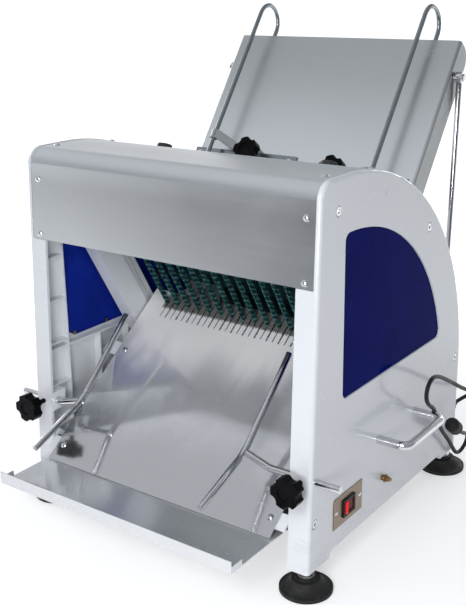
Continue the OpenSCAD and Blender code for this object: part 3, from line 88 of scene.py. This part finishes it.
class Nodes:
    """A node tree, with short names for the nodes that the looks are made of."""

    def __init__(self, tree):
        self.tree = tree

    def node(self, kind, **values):
        made = self.tree.nodes.new(kind)
        for key, value in values.items():
            setattr(made, key, value)
        return made

    def feed(self, socket, value):
        """Links an output to the socket, or sets its constant; a colour has three numbers."""
        if hasattr(value, "is_linked"):
            self.tree.links.new(value, socket)
        elif socket.type == "RGBA":
            socket.default_value = (*value, 1)
        else:
            socket.default_value = value

    def fill(self, node, **sockets):
        """Feeds a node's inputs; an underscore stands for a space in a socket's name."""
        for name, value in sockets.items():
            self.feed(node.inputs[name.replace("_", " ")], value)

    def place(self, scale=(1, 1, 1), turn=(0, 0, 0), shift=(0, 0, 0)):
        """The place on the object in metres, scaled, then turned in degrees, then shifted."""
        source = self.node("ShaderNodeTexCoord").outputs["Object"]
        made = self.node("ShaderNodeMapping")
        turn = tuple(math.radians(a) for a in turn)
        self.fill(made, Vector=source, Scale=scale, Rotation=turn, Location=shift)
        return made.outputs["Vector"]

    def noise(self, vector, scale, detail=3.0, rough=0.55, twist=0.0):
        made = self.node("ShaderNodeTexNoise")
        self.fill(made, Vector=vector, Scale=scale, Detail=detail, Roughness=rough)
        self.fill(made, Distortion=twist)
        return made.outputs["Fac"]

    def cells(self, vector, scale):
        made = self.node("ShaderNodeTexVoronoi")
        self.fill(made, Vector=vector, Scale=scale)
        return made.outputs["Distance"]

    def math(self, operation, *values):
        made = self.node("ShaderNodeMath", operation=operation)
        for socket, value in zip(made.inputs, values):
            self.feed(socket, value)
        return made.outputs[0]

    def add(self, a, b):
        return self.math("ADD", a, b)

    def times(self, a, b):
        return self.math("MULTIPLY", a, b)

    def larger(self, a, b):
        return self.math("MAXIMUM", a, b)

    def swing(self, noise, amount):
        """A noise's swing about its middle, times the amount."""
        return self.times(self.math("SUBTRACT", noise, 0.5), amount)

    def between(self, value, low, high, out_low=0, out_high=1):
        """Goes smoothly from out_low to out_high as the value goes from low to high."""
        made = self.node("ShaderNodeMapRange", interpolation_type="SMOOTHSTEP")
        self.fill(made, Value=value, From_Min=low, From_Max=high, To_Min=out_low, To_Max=out_high)
        return made.outputs["Result"]

    def mix(self, share, a, b):
        """Colour a, which turns to colour b as the share goes from 0 to 1."""
        made = self.node("ShaderNodeMix", data_type="RGBA")
        sockets = {socket.identifier: socket for socket in made.inputs}
        for key, value in (("Factor_Float", share), ("A_Color", a), ("B_Color", b)):
            self.feed(sockets[key], value)
        return next(socket for socket in made.outputs if socket.identifier == "Result_Color")

    def bump(self, height, strength, distance):
        made = self.node("ShaderNodeBump")
        self.fill(made, Height=height, Strength=strength, Distance=distance)
        return made.outputs["Normal"]

    def split(self, vector):
        made = self.node("ShaderNodeSeparateXYZ")
        self.fill(made, Vector=vector)
        return made.outputs

    def facing(self, axis):
        """How far a face looks along the axis, from -1 to 1."""
        return self.split(self.node("ShaderNodeNewGeometry").outputs["Normal"])[axis]

    def sloped(self, parts, angle):
        """How far a place lies along the line that rises from +Y by the angle."""
        level, rise = math.cos(angle), math.sin(angle)
        return self.add(self.times(parts["Y"], level), self.times(parts["Z"], rise))

    def towards(self, vector, way, low, high):
        """Rises from 0 to 1 as the vector's share along the given way goes from low to high."""
        dot = self.node("ShaderNodeVectorMath", operation="DOT_PRODUCT")
        self.feed(dot.inputs[0], vector)
        self.feed(dot.inputs[1], way)
        return self.between(dot.outputs["Value"], low, high)

    def seen(self):
        """1 for what the eye sees, directly, mirrored or through a sheet, and 0 for light."""
        path = self.node("ShaderNodeLightPath").outputs
        direct = self.add(path["Is Camera Ray"], path["Is Glossy Ray"])
        return self.add(direct, path["Is Transmission Ray"])


class Shader(Nodes):
    """A new material with its main shader."""

    def __init__(self, name, color, roughness, metallic=0.0, **sockets):
        self.mat = bpy.data.materials.new(name)
        self.mat.use_nodes = True
        self.mat.diffuse_color = (*color, 1)
        super().__init__(self.mat.node_tree)
        self.main = self.tree.nodes["Principled BSDF"]
        self.wear(Base_Color=color, Roughness=roughness, Metallic=metallic, **sockets)

    def wear(self, **sockets):
        self.fill(self.main, **sockets)


def toned(color, factor):
    """The colour made darker or paler by the factor."""
    return tuple(min(1, c * factor) for c in color)


# Materials; places and heights are in metres of the row frame

DUST = (0.40, 0.38, 0.34)
DUST_SHARE = 0.20
DUST_FADE = (0.03, 0.22)
INNER_WHITE = (0.84, 0.86, 0.89)
# Painted shade: the rear cover's inside, dark teal as it is seen in shade among the knives
COVER_INSIDE_SHADE = (0.020, 0.045, 0.047)

# Painted shade and painted reflections of the knives, on the table's low end by the knives
KNIFE_SHADE_DARK = (0.022, 0.068, 0.070)
KNIFE_MIRROR_PALE = (0.10, 0.38, 0.39)
# Stripes of painted knife reflection to the metre across and up the sheet
KNIFE_MIRROR_STRIPES = (420, 560)

SLIDE_SLOPE = math.radians(36.7)
# Y and Z of the throat, where the knives cross the slide
THROAT = (0.0147, 0.3045)
# From the throat down the slide to the end of the comb's slots
COMB_BELOW = 0.036
COMB_END = THROAT[0] * math.cos(SLIDE_SLOPE) + THROAT[1] * math.sin(SLIDE_SLOPE) - COMB_BELOW
# Along the slide: a painted reflection of pale light, whole above the first place and gone below
# the second
REFLECTION_BAND = (COMB_END - 0.01, COMB_END - 0.13)
# The colour of that painted reflection
PAINTED_REFLECTION = (0.97, 0.955, 0.95)
# Along the slide: where the dark fringe among the knives begins and is full
FRINGE_EDGE = (REFLECTION_BAND[0] + 0.026, REFLECTION_BAND[0] + 0.031)
# Across the slide: where the fringe begins to fade and is gone
FRINGE_SIDES = (0.184, 0.190)
FRINGE_DARK = (0.030, 0.028, 0.026)
FRINGE_PALE = (0.22, 0.20, 0.18)
SCRATCH_BRIGHT = (0.9, 0.9, 0.92)
CRUMB = (0.93, 0.92, 0.9)

SCRATCH_BLUE = (0.30, 0.30, 0.42)

KNIFE_LEAN = math.radians(30)
KNIFE_BASE = (0.03, 0.08, 0.08)
KNIFE_DARK = (0.034, 0.090, 0.093)
KNIFE_OILY = (0.09, 0.28, 0.28)
# Painted glints on the knives' teeth
TOOTH_GLINT = (0.30, 0.80, 0.82)
TOOTH_PITCH = 0.011
# Teeth by which a painted glint runs ahead for each metre across the knife
TOOTH_SLANT = 90

CHIP_GREY = (0.34, 0.34, 0.35)

RED_BASE = (0.62, 0.012, 0.02)
# Painted shade and painted light on the red rocker
RED_PAINTED_SHADE = (0.16, 0.006, 0.01)
RED_PAINTED_LIT = (0.80, 0.014, 0.024)
RED_PAINTED_GLOW = (1.0, 0.03, 0.04)
# Y of the rocker's front end, where light is painted on, and of where that painted glow has died
# away
PAINTED_GLOW_FADE = (-0.1365, -0.1295)


def enamel(name, color, rough, peel, chips_and_inner_shade=None):
    """Gloss paint or moulding: soft mottling, orange peel, a little dust low down.

    chips_and_inner_shade is painted shade: the dark colour of the faces that look forwards, the
    sheet's inside.
    """
    s = Shader(name, color, rough, Coat_Weight=0.35, Coat_Roughness=0.06, IOR=1.5)
    plain = s.place()
    cloud = s.noise(plain, 7, 4)
    fine = s.noise(plain, 160)
    smudge = s.noise(s.place((9, 9, 30)), 3, 5, 0.65, 0.6)
    shade = s.mix(s.between(cloud, 0.35, 0.7), color, toned(color, 0.985))
    low = s.between(s.split(plain)["Z"], *DUST_FADE, 1, 0)
    grime = s.times(s.between(smudge, 0.48, 0.72, 0, DUST_SHARE), low)
    shade = s.mix(grime, shade, DUST)
    if chips_and_inner_shade is not None:
        # Painted shade on the faces that look forwards
        shade = s.mix(s.between(s.facing("Y"), 0.05, -0.05), shade, chips_and_inner_shade)
    skin = s.between(smudge, 0.3, 0.75, rough - 0.02, rough + 0.03)
    s.wear(
        Base_Color=shade,
        Roughness=s.add(skin, s.times(fine, 0.02)),
        Normal=s.bump(s.noise(plain, 420, 2), peel, 0.0002),
    )
    return s.mat


def knife_shade_and_mirror(s, plain, parts):
    """Painted shade, dark green, with painted reflections of the knives in slanting stripes."""
    across, up = KNIFE_MIRROR_STRIPES
    mirrored_knives = s.add(s.times(parts["X"], across), s.times(parts["Z"], up))
    mirrored_knives = s.add(mirrored_knives, s.times(s.noise(plain, 70, 4), 3.0))
    mirrored_knives = s.between(s.math("PINGPONG", mirrored_knives, 1.0), 0.62, 0.95, 0, 0.7)
    return s.mix(mirrored_knives, KNIFE_SHADE_DARK, KNIFE_MIRROR_PALE)


def brushed(name, color, rough, grain, streak=1.0, painted_sheen_from=None, painted_sheen_above=None,
            oily_from=None, dull_sides=False):
    """Brushed sheet steel, its lines along X.

    Downwards from the height painted_sheen_from and upwards from painted_sheen_above it turns
    paler, as a painted highlight, and downwards from oily_from it carries painted shade and painted
    reflections of the knives.
    dull_sides darkens the faces that look left and right, as painted shade.
    """
    s = Shader(name, color, rough, metallic=1.0)
    plain = s.place()
    parts = s.split(plain)
    lines = s.noise(s.place((9, 1500, 1500)), 1.0, 4, 0.6)
    long = s.noise(s.place((2.5, 260, 260), shift=(3, 1, 2)), 1.0, 3, 0.5)
    cloud = s.noise(plain, 3.2, 3, 0.5, 0.4)
    tone = s.mix(s.between(lines, 0.3, 0.7), toned(color, 0.965), toned(color, 1.02))
    tone = s.mix(s.between(cloud, 0.38, 0.68, 0, 0.22), tone, toned(color, 0.9))
    if painted_sheen_from is not None:
        # Painted highlight: paler towards the bottom
        low = s.between(parts["Z"], painted_sheen_from, painted_sheen_from - 0.22, 0, 0.75)
        tone = s.mix(low, tone, toned(color, 1.8))
    if painted_sheen_above is not None:
        # Painted highlight: paler along the top
        high = s.between(parts["Z"], painted_sheen_above, painted_sheen_above + 0.03, 0, 0.4)
        tone = s.mix(high, tone, toned(color, 1.5))
    if oily_from is not None:
        # Painted shade with painted knife reflections towards the bottom
        oily = s.between(parts["Z"], oily_from, oily_from - 0.05, 0, 0.96)
        tone = s.mix(oily, tone, knife_shade_and_mirror(s, plain, parts))
    if dull_sides:
        # Painted shade on the faces that look left and right
        aside = s.math("ABSOLUTE", s.facing("X"))
        tone = s.mix(s.between(aside, 0.75, 0.98), tone, toned(color, 0.55))
    mist = s.between(cloud, 0.3, 0.7, rough - 0.04, rough + 0.07)
    s.wear(
        Base_Color=tone,
        Roughness=s.add(mist, s.swing(lines, 0.14 * streak)),
        Normal=s.bump(s.add(lines, s.times(long, 0.5)), grain, 0.00035),
    )
    return s.mat


def slide_bands(s, tone, plain, grain, color, sheen):
    """The slide's tone from its comb down: a dark fringe, a painted reflection of pale light, then
    bare bright steel darkened by painted shade.
    """
    start, end = REFLECTION_BAND
    parts = s.split(plain)
    height = s.sloped(parts, SLIDE_SLOPE)
    waves = s.noise(s.place((9, 4, 4), shift=(1, 7, 3)), 1.0, 3, 0.5, 0.6)
    along = s.add(height, s.swing(waves, 0.16))
    pale = s.between(along, end, start)
    bright = s.between(along, end, end - 0.16, sheen, 0.93)
    s.wear(Metallic=s.times(bright, s.between(pale, 0, 1, 1, 0.12)))
    # Painted shade: darker down the slope, where the steel mirrors the grey room
    tone = s.mix(s.between(along, end, end - 0.12), tone, toned(color, 0.78))
    # Painted reflection of pale light near the comb
    tone = s.mix(s.times(pale, 0.95), tone, PAINTED_REFLECTION)
    frayed = s.add(height, s.swing(s.noise(plain, 330), 0.012))
    inside = s.between(s.math("ABSOLUTE", parts["X"]), *FRINGE_SIDES, 1, 0)
    fringe = s.times(s.between(frayed, *FRINGE_EDGE, 0, 0.92), inside)
    return s.mix(fringe, tone, s.mix(s.between(grain, 0.4, 0.62), FRINGE_DARK, FRINGE_PALE))


def polished(name, color, rough, specks, sheen, banded=False):
    """Used bright sheet steel with a satin skin: haze, hair scratches, grain and crumbs of dust."""
    s = Shader(name, color, rough, metallic=sheen)
    plain = s.place()
    haze = s.noise(plain, 5.5, 5, 0.6, 0.8)
    grain = s.noise(plain, 900, 2, 0.6)
    hairs = s.noise(s.place((30, 900, 900), (0, 0, 23)), 1.0, 2, 0.5)
    hairs_b = s.noise(s.place((700, 24, 700), (0, 0, -14), (4, 2, 1)), 1.0, 2, 0.5)
    scratch = s.larger(s.between(hairs, 0.70, 0.80), s.between(hairs_b, 0.72, 0.82))
    dust = s.between(s.cells(plain, 130), 0.05, 0.085, 1, 0)
    rare = s.between(s.noise(plain, 60, 1, 0.3), 0.60, 0.66)
    crumbs = s.times(s.times(dust, rare), specks)
    tone = s.mix(s.between(grain, 0.35, 0.65), toned(color, 0.90), toned(color, 1.06))
    tone = s.mix(s.between(haze, 0.45, 0.75, 0, 0.35), tone, toned(color, 0.86))
    tone = s.mix(s.times(scratch, 0.25), tone, SCRATCH_BRIGHT)
    # Painted reflection and painted shade in bands down the slide
    if banded:
        tone = slide_bands(s, tone, plain, grain, color, sheen)
    satin = s.between(haze, 0.3, 0.75, rough - 0.03, rough + 0.09)
    satin = s.add(satin, s.swing(grain, 0.08))
    uneven = s.add(s.times(grain, 0.35), s.times(haze, 0.5))
    s.wear(
        Base_Color=s.mix(crumbs, tone, CRUMB),
        Roughness=s.add(satin, s.times(s.larger(scratch, crumbs), 0.22)),
        Normal=s.bump(uneven, 0.05, 0.0006),
    )
    return s.mat


def drawn(name, color, rough, along):
    """Drawn or plated bar: faint lines, patches of haze; along is the lines' scale on each axis."""
    s = Shader(name, color, rough, metallic=1.0)
    lines = s.noise(s.place(along), 1.0, 3, 0.5)
    haze = s.noise(s.place(), 26, 4, 0.6)
    tone = s.mix(s.between(lines, 0.3, 0.7), toned(color, 0.88), toned(color, 1.05))
    s.wear(
        Base_Color=s.mix(s.between(haze, 0.55, 0.75, 0, 0.35), tone, toned(color, 0.72)),
        Roughness=s.between(haze, 0.3, 0.75, rough - 0.02, rough + 0.12),
        Normal=s.bump(lines, 0.05, 0.0003),
    )
    return s.mat


def moulded(name, color, rough, grain, size, gloss=0.16, rubbed=0.03):
    """Moulded plastic or rubber: fine grain, dull patches, paler where it is rubbed."""
    s = Shader(name, color, rough, Specular_IOR_Level=gloss)
    plain = s.place()
    worn = s.noise(plain, 38, 5, 0.65, 0.3)
    pale = tuple(c + rubbed for c in color)
    s.wear(
        Base_Color=s.mix(s.between(worn, 0.48, 0.75), color, pale),
        Roughness=s.between(worn, 0.3, 0.75, rough - 0.06, rough + 0.14),
        Normal=s.bump(s.noise(plain, size), grain, 0.0005),
    )
    return s.mat


def acrylic(name, color, deep):
    """Tinted acrylic sheet: deep gloss, hair scratches and finger haze."""
    s = Shader(name, color, 0.06, IOR=1.49, Specular_IOR_Level=0.006)
    plain = s.place()
    cloud = s.noise(plain, 9, 5, 0.6, 0.5)
    hairs = s.noise(s.place((1, 260, 30), (38, 0, 0)), 1.0, 3, 0.6, 1.5)
    hairs_b = s.noise(s.place((1, 40, 300), (-24, 0, 0), (2, 5, 1)), 1.0, 3, 0.6, 1.2)
    scratch = s.larger(s.between(hairs, 0.66, 0.76), s.between(hairs_b, 0.68, 0.78))
    tone = s.mix(s.between(cloud, 0.35, 0.7), color, deep)
    smooth = s.between(cloud, 0.4, 0.8, 0.045, 0.13)
    s.wear(
        Base_Color=s.mix(s.times(scratch, 0.10), tone, SCRATCH_BLUE),
        Roughness=s.add(smooth, s.times(scratch, 0.2)),
        Normal=s.bump(s.noise(plain, 3, 2), 0.02, 0.002),
    )
    return s.mat


def knife_steel(name):
    """Hardened strip with an oily green cast; its teeth carry painted glints, a row of bright
    slanted ticks.
    """
    s = Shader(name, KNIFE_BASE, 0.32, metallic=0.7)
    plain = s.place()
    parts = s.split(plain)
    across = s.sloped(parts, KNIFE_LEAN)
    along = s.sloped(parts, KNIFE_LEAN + math.pi / 2)
    slant = s.add(s.times(along, 1 / TOOTH_PITCH), s.times(across, TOOTH_SLANT))
    slant = s.add(slant, s.times(s.noise(plain, 140), 0.5))
    blotch = s.noise(plain, 120, 4, 0.6, 0.4)
    tone = s.mix(s.between(blotch, 0.35, 0.68), KNIFE_DARK, KNIFE_OILY)
    # Painted glints on the teeth
    tooth_glint = s.between(s.math("PINGPONG", slant, 0.5), 0.30, 0.42)
    tooth_glint = s.times(tooth_glint, s.between(blotch, 0.3, 0.6, 0.25, 1))
    s.wear(
        Base_Color=s.mix(tooth_glint, tone, TOOTH_GLINT),
        Roughness=s.between(blotch, 0.3, 0.7, 0.24, 0.45),
        Normal=s.bump(s.noise(s.place((700, 260, 260)), 1.0), 0.12, 0.0004),
    )
    return s.mat


def painted(name, color, rough):
    """Shop paint over cast or pressed metal: brush grain and chips to grey."""
    s = Shader(name, color, rough)
    plain = s.place()
    chips = s.noise(plain, 55, 5, 0.7, 0.6)
    grain = s.noise(plain, 220)
    chips_and_inner_shade = s.between(chips, 0.66, 0.72, 0, 0.8)
    coat = s.mix(s.between(grain, 0.3, 0.7), color, toned(color, 0.9))
    s.wear(
        Base_Color=s.mix(chips_and_inner_shade, coat, CHIP_GREY),
        Roughness=s.between(chips, 0.3, 0.75, rough - 0.08, rough + 0.12),
        Metallic=s.times(chips_and_inner_shade, 0.7),
        Normal=s.bump(grain, 0.12, 0.0005),
    )
    return s.mat


def red_lens(name):
    """Red rocker: clear moulded red, with painted light as a soft glow at its front end and painted
    shade behind it.
    """
    s = Shader(name, RED_BASE, 0.2, Specular_IOR_Level=0.10)
    plain = s.place()
    # Painted light on the front end, and painted shade on the rest
    glow = s.between(s.split(plain)["Y"], *PAINTED_GLOW_FADE, 1, 0)
    s.wear(
        Base_Color=s.mix(glow, RED_PAINTED_SHADE, RED_PAINTED_LIT),
        Roughness=s.between(s.noise(plain, 180), 0.3, 0.7, 0.12, 0.24),
        Emission_Color=RED_PAINTED_GLOW,
        Emission_Strength=s.times(glow, 0.35),
        Normal=s.bump(s.noise(plain, 600, 2), 0.04, 0.0003),
    )
    return s.mat


def make_materials():
    """The materials, by the short names that WEARS uses."""
    return {
        "panel": enamel("white_panel", (0.80, 0.82, 0.85), rough=0.24, peel=0.03),
        "inside": enamel("white_inside", INNER_WHITE, rough=0.34, peel=0.03),
        "cover": enamel("white_cover", INNER_WHITE, rough=0.34, peel=0.03, chips_and_inner_shade=COVER_INSIDE_SHADE),
        "blue_right": acrylic(
            "blue_acrylic_right", (0.005, 0.010, 0.150), deep=(0.004, 0.007, 0.110)),
        "blue_left": acrylic(
            "blue_acrylic_left", (0.008, 0.026, 0.300), deep=(0.006, 0.018, 0.220)),
        "hood": brushed(
            "brushed_stainless_hood", (0.60, 0.62, 0.64), rough=0.33, grain=0.03,
            painted_sheen_above=0.548),
        "table": brushed(
            "brushed_stainless_table", (0.50, 0.52, 0.53), rough=0.30, grain=0.025,
            painted_sheen_from=0.74, oily_from=0.50, dull_sides=True),
        "plate": brushed(
            "warm_stainless_plate", (0.30, 0.235, 0.18), rough=0.34, grain=0.10, streak=0.8),
        "slide": polished(
            "polished_stainless_slide", (0.74, 0.75, 0.77), rough=0.085, specks=0.8, sheen=0.55,
            banded=True),
        "tray": polished(
            "polished_stainless_tray", (0.76, 0.77, 0.79), rough=0.15, specks=1.0, sheen=0.6),
        "chrome": drawn("chromed_rod", (0.74, 0.74, 0.76), rough=0.09, along=(300, 300, 300)),
        "rod": drawn("drawn_steel_rod", (0.30, 0.33, 0.34), rough=0.22, along=(500, 60, 60)),
        "clip": brushed("clip_steel", (0.42, 0.44, 0.45), rough=0.3, grain=0.08),
        "screw": drawn("bright_screw", (0.72, 0.73, 0.75), rough=0.16, along=(200, 200, 200)),
        "zinc": drawn("zinc_plate", (0.52, 0.53, 0.54), rough=0.3, along=(90, 90, 90)),
        "brass": drawn("brass", (0.30, 0.19, 0.08), rough=0.30, along=(200, 200, 200)),
        "frame": enamel("knife_frame_paint", (0.70, 0.72, 0.75), rough=0.4, peel=0.05),
        "knife": knife_steel("knife_steel"),
        "knob": moulded(
            "black_knob", (0.004, 0.004, 0.005), rough=0.24, grain=0.05, size=340, gloss=0.05,
            rubbed=0.005),
        "cap": moulded(
            "grey_cap", (0.040, 0.042, 0.046), rough=0.34, grain=0.06, size=420, gloss=0.2,
            rubbed=0.025),
        "bezel": moulded("black_bezel", (0.014, 0.014, 0.015), rough=0.38, grain=0.08, size=500),
        "rubber": moulded(
            "black_rubber", (0.022, 0.022, 0.021), rough=0.55, grain=0.18, size=420,
            rubbed=0.025),
        "cord": moulded(
            "cord_jacket", (0.016, 0.016, 0.016), rough=0.42, grain=0.06, size=700, gloss=0.2,
            rubbed=0.015),
        "red": red_lens("red_rocker"),
        "motor": painted("motor_paint", (0.20, 0.23, 0.26), rough=0.42),
        "turned": drawn("turned_steel", (0.5, 0.5, 0.51), rough=0.26, along=(700, 60, 60)),
        "belt": moulded("belt_rubber", (0.02, 0.02, 0.02), rough=0.7, grain=0.25, size=600),
    }


WEARS = {
    "panel": ["side_panel_left", "side_panel_right"],
    "inside": ["knife_rails", "table_brackets", "slide_supports"],
    "cover": ["rear_cover"],
    "blue_left": ["window_left"],
    "blue_right": ["window_right"],
    "brass": ["window_screws", "earth_stud"],
    "hood": ["hood_cover"],
    "table": ["infeed_table"],
    "plate": ["switch_plate"],
    "slide": ["outfeed_slide"],
    "tray": ["crumb_tray"],
    "screw": ["panel_screws", "cover_screws", "hood_screws", "slide_screws", "table_bolts"],
    "zinc": ["foot_studs", "tie_bars", "tray_runners", "base_plate", "prop_brackets"],
    "chrome": [
        "outfeed_guide_left", "outfeed_guide_right", "handle_left", "handle_right",
        "prop_rod_left", "prop_rod_right",
    ],
    "rod": ["infeed_guide_left", "infeed_guide_right", "guide_bar"],
    "clip": ["infeed_clip_left", "infeed_clip_right"],
    "frame": ["knife_frame_front", "knife_frame_rear"],
    "knife": ["knives_front", "knives_rear"],
    "knob": [
        "outfeed_knob_left", "outfeed_knob_right", "infeed_knob_left", "infeed_knob_right",
        "hood_knob_left", "hood_knob_right",
    ],
    "bezel": ["switch_bezel", "cord_gland"],
    "red": ["switch_rocker"],
    "rubber": ["foot_pads", "plug"],
    "cord": ["cord"],
    "motor": ["motor", "bearings"],
    "turned": ["motor_pulley", "crankshaft", "crank_pulley", "conrods_front", "conrods_rear"],
    "belt": ["drive_belt"],
}


def dress_nodes(m):
    for key, names in WEARS.items():
        for name in names:
            slots = NODES[name].data.materials
            slots.clear()
            slots.append(m[key])


# Cord, from the gland to the plug

CORD_ROUTE = [
    (258, 518, 112), (258, 531, 112), (263, 546, 115), (273, 556, 121), (285, 558, 127),
    (297, 550, 134), (304, 535, 141), (307, 516, 147), (307, 497, 152), (305, 480, 158),
    (303, 463, 165), (302, 445, 175), (302, 425, 186), (303, 405, 198), (304, 386, 209),
    (305, 366, 220), (306, 347, 230), (308, 329, 239), (310, 312, 247), (311, 298, 252),
    (312, 285, 252), (313, 275, 247), (313, 268, 237), (312, 268, 225), (311, 275, 213),
    (309, 287, 204), (307, 300, 198), (306, 312, 192), (304, 322, 185), (302, 331, 176),
    (300, 339, 166), (297, 350, 153), (294, 362, 141), (291, 375, 129), (288, 389, 117),
    (286, 404, 105), (285, 419, 92), (284, 434, 78), (284, 447, 66), (283, 457, 54),
    (283, 465, 42), (282, 474, 32), (283, 486, 27), (284, 498, 30), (286, 507, 39),
    (289, 510, 50), (292, 506, 61), (293, 497, 69), (294, 486, 73), (295, 475, 77),
    (297, 463, 83), (298, 451, 90), (300, 440, 97), (301, 430, 104),
]
CORD_D = 0.007
CORD_EASING = 3
CORD_ORDER = 3
CORD_STEPS = 6
CORD_ROUNDNESS = 5


def eased(points, rounds):
    """The route with each inner point drawn towards its neighbours, a few times over."""
    for _ in range(rounds):
        inner = [(a + 2 * b + c) / 4 for a, b, c in zip(points, points[1:], points[2:])]
        points = [points[0], *inner, points[-1]]
    return points


def make_cord(m):
    points = eased([at(*p) for p in CORD_ROUTE], CORD_EASING)
    data = bpy.data.curves.new("mains_cord", "CURVE")
    data.dimensions = "3D"
    data.bevel_depth = CORD_D / 2
    data.bevel_resolution = CORD_ROUNDNESS
    data.resolution_u = CORD_STEPS
    data.use_fill_caps = True
    line = data.splines.new("NURBS")
    line.points.add(len(points) - 1)
    for p, co in zip(line.points, points):
        p.co = (*co, 1)
    line.order_u = CORD_ORDER
    line.use_endpoint_u = True
    data.materials.append(m["cord"])
    cord = put("mains_cord", data)
    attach(cord, "machine")
    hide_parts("cord")


# Moulded caps on the ends of the hood's two clamp screws; lengths are in millimetres

HOOD_R = 395
# Y and Z of the middle of the hood's arc in the part source
ARC_MIDDLE = (94, 208.5)
CAP_X = 160
# From upright to the rear
CAP_ANGLE = math.radians(18.6)
# Radius and height of each ring, and how deep the flutes cut into it
CAP_RINGS = [
    (2.6, -0.3, 0), (2.6, 0.4, 0), (11.2, 0.4, 0.4), (12.4, 1.0, 0.8), (13.0, 2.6, 1.0),
    (12.8, 5.0, 1.0), (12.0, 6.6, 0.8), (10.2, 7.7, 0.4), (7.4, 8.3, 0), (6.6, 8.0, 0),
    (3.2, 7.8, 0),
]
CAP_FLUTES = 8
CAP_STEPS = 96
CAP_SHARP = math.radians(40)


def make_hood_cap(name, side, body, m):
    """A fluted cap with a dished top, on the screw end that stands in the hood's rear edge."""
    out = Vector((0, math.sin(CAP_ANGLE), math.cos(CAP_ANGLE)))
    over = Vector((1, 0, 0))
    back = out.cross(over)
    foot = at(side * CAP_X, ARC_MIDDLE[0] + HOOD_R * out.y, ARC_MIDDLE[1] + HOOD_R * out.z)
    points, faces = [], []
    for radius, height, flute in CAP_RINGS:
        middle = foot + out * (height / MM_PER_M)
        for k in range(CAP_STEPS):
            turn = math.tau * k / CAP_STEPS
            reach = (radius - flute * max(0, math.cos(CAP_FLUTES * turn)) ** 2) / MM_PER_M
            points.append(middle + (over * math.cos(turn) + back * math.sin(turn)) * reach)
    for ring in range(len(CAP_RINGS) - 1):
        for k in range(CAP_STEPS):
            a, b = ring * CAP_STEPS + k, ring * CAP_STEPS + (k + 1) % CAP_STEPS
            faces.append((a, b, b + CAP_STEPS, a + CAP_STEPS))
    faces.append(tuple(reversed(range(CAP_STEPS))))
    faces.append(tuple(range(len(points) - CAP_STEPS, len(points))))
    mesh = bpy.data.meshes.new(name)
    mesh.from_pydata(points, [], faces)
    mesh.shade_smooth()
    mesh.set_sharp_from_angle(angle=CAP_SHARP)
    mesh.materials.append(m["cap"])
    cap = put(name, mesh)
    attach(cap, body)


# Stage and light

BEHIND = (-0.56, 0.77, 0)
OVERHEAD = (-0.56, -0.10, 0.82)
DOWN = (0, 0, -1)
WHITE = (1, 1, 1)

FLOOR_R = 60
FLOOR_STEPS = 64
FLOOR_PALE = (0.80, 0.80, 0.80)
FLOOR_GREY = (0.24, 0.245, 0.255)
# Along BEHIND: where the floor's grey ends and where it is wholly pale
FLOOR_FADE = (-0.95, -0.42)
# Distances from the machine's middle, and the floor's glow at them
GLOW_REACH = (0.45, 1.3)
GLOW_POWER = (0.40, 0.78)

ROOM_GREY = (0.35, 0.365, 0.39)
ROOM_PALE = (0.62, 0.64, 0.67)

LAMP_COLOR = (0.97, 0.98, 1.0)
# Name, place, aim, width and height in metres, power in watts
LAMPS = [
    ("key", (0.60, -1.55, 1.20), (0, -0.05, 0.3), 0.5, 0.4, 9),
    ("low", (0.60, -1.15, 0.42), (-0.15, 0, 0.34), 0.35, 0.25, 4.6),
    ("left", (-2.2, 0.3, 1.0), (0, 0, 0.3), 0.9, 0.8, 9),
    ("rear", (-0.1, 2.3, 1.0), (0, 0, 0.3), 0.9, 0.8, 10),
]


def make_floor():
    """A pale disc, grey in front of the machine. Its glow is seen, but lights nothing."""
    turns = [math.tau * k / FLOOR_STEPS for k in range(FLOOR_STEPS)]
    ring = [(FLOOR_R * math.cos(a), FLOOR_R * math.sin(a), 0) for a in turns]
    mesh = bpy.data.meshes.new("floor")
    mesh.from_pydata(ring, [], [list(range(FLOOR_STEPS))])
    floor = put("floor", mesh)
    s = Shader("pale_floor", FLOOR_PALE, 0.9, Specular_IOR_Level=0.1)
    spot = s.node("ShaderNodeTexCoord").outputs["Object"]
    pale = s.towards(spot, BEHIND, *FLOOR_FADE)
    distance = s.node("ShaderNodeVectorMath", operation="LENGTH")
    s.fill(distance, Vector=spot)
    glow = s.between(distance.outputs["Value"], *GLOW_REACH, *GLOW_POWER)
    s.wear(
        Base_Color=s.mix(pale, FLOOR_GREY, FLOOR_PALE),
        Emission_Color=WHITE,
        Emission_Strength=s.times(s.times(glow, s.seen()), pale),
    )
    mesh.materials.append(s.mat)


def make_world():
    """Grey room: paler overhead on the left, and white to the eye low down behind the machine."""
    world = bpy.data.worlds.new("studio")
    SCENE.world = world
    world.use_nodes = True
    n = Nodes(world.node_tree)
    way = n.node("ShaderNodeTexCoord").outputs["Generated"]
    low = n.towards(way, DOWN, -0.55, -0.10)
    backdrop = n.times(n.times(n.towards(way, BEHIND, -0.1, 0.75), low), n.seen())
    room = n.mix(n.towards(way, OVERHEAD, 0.55, 0.97), ROOM_GREY, ROOM_PALE)
    n.fill(n.tree.nodes["Background"], Color=n.mix(backdrop, room, WHITE), Strength=1.0)


def make_lights():
    for name, spot, aim, width, height, power in LAMPS:
        data = bpy.data.lights.new(name, "AREA")
        data.shape = "RECTANGLE"
        data.size, data.size_y = width, height
        data.energy = power
        data.color = LAMP_COLOR
        lamp = put(name, data)
        lamp.location = spot
        lamp.rotation_euler = (Vector(aim) - Vector(spot)).to_track_quat("-Z", "Y").to_euler()


make_camera()
MATERIALS = make_materials()
make_cord(MATERIALS)
make_hood_cap("hood_cap_left", -1, "hood_clamp_left", MATERIALS)
make_hood_cap("hood_cap_right", 1, "hood_clamp_right", MATERIALS)
dress_nodes(MATERIALS)
make_floor()
make_world()
make_lights()
SCENE.view_settings.view_transform = "Standard"
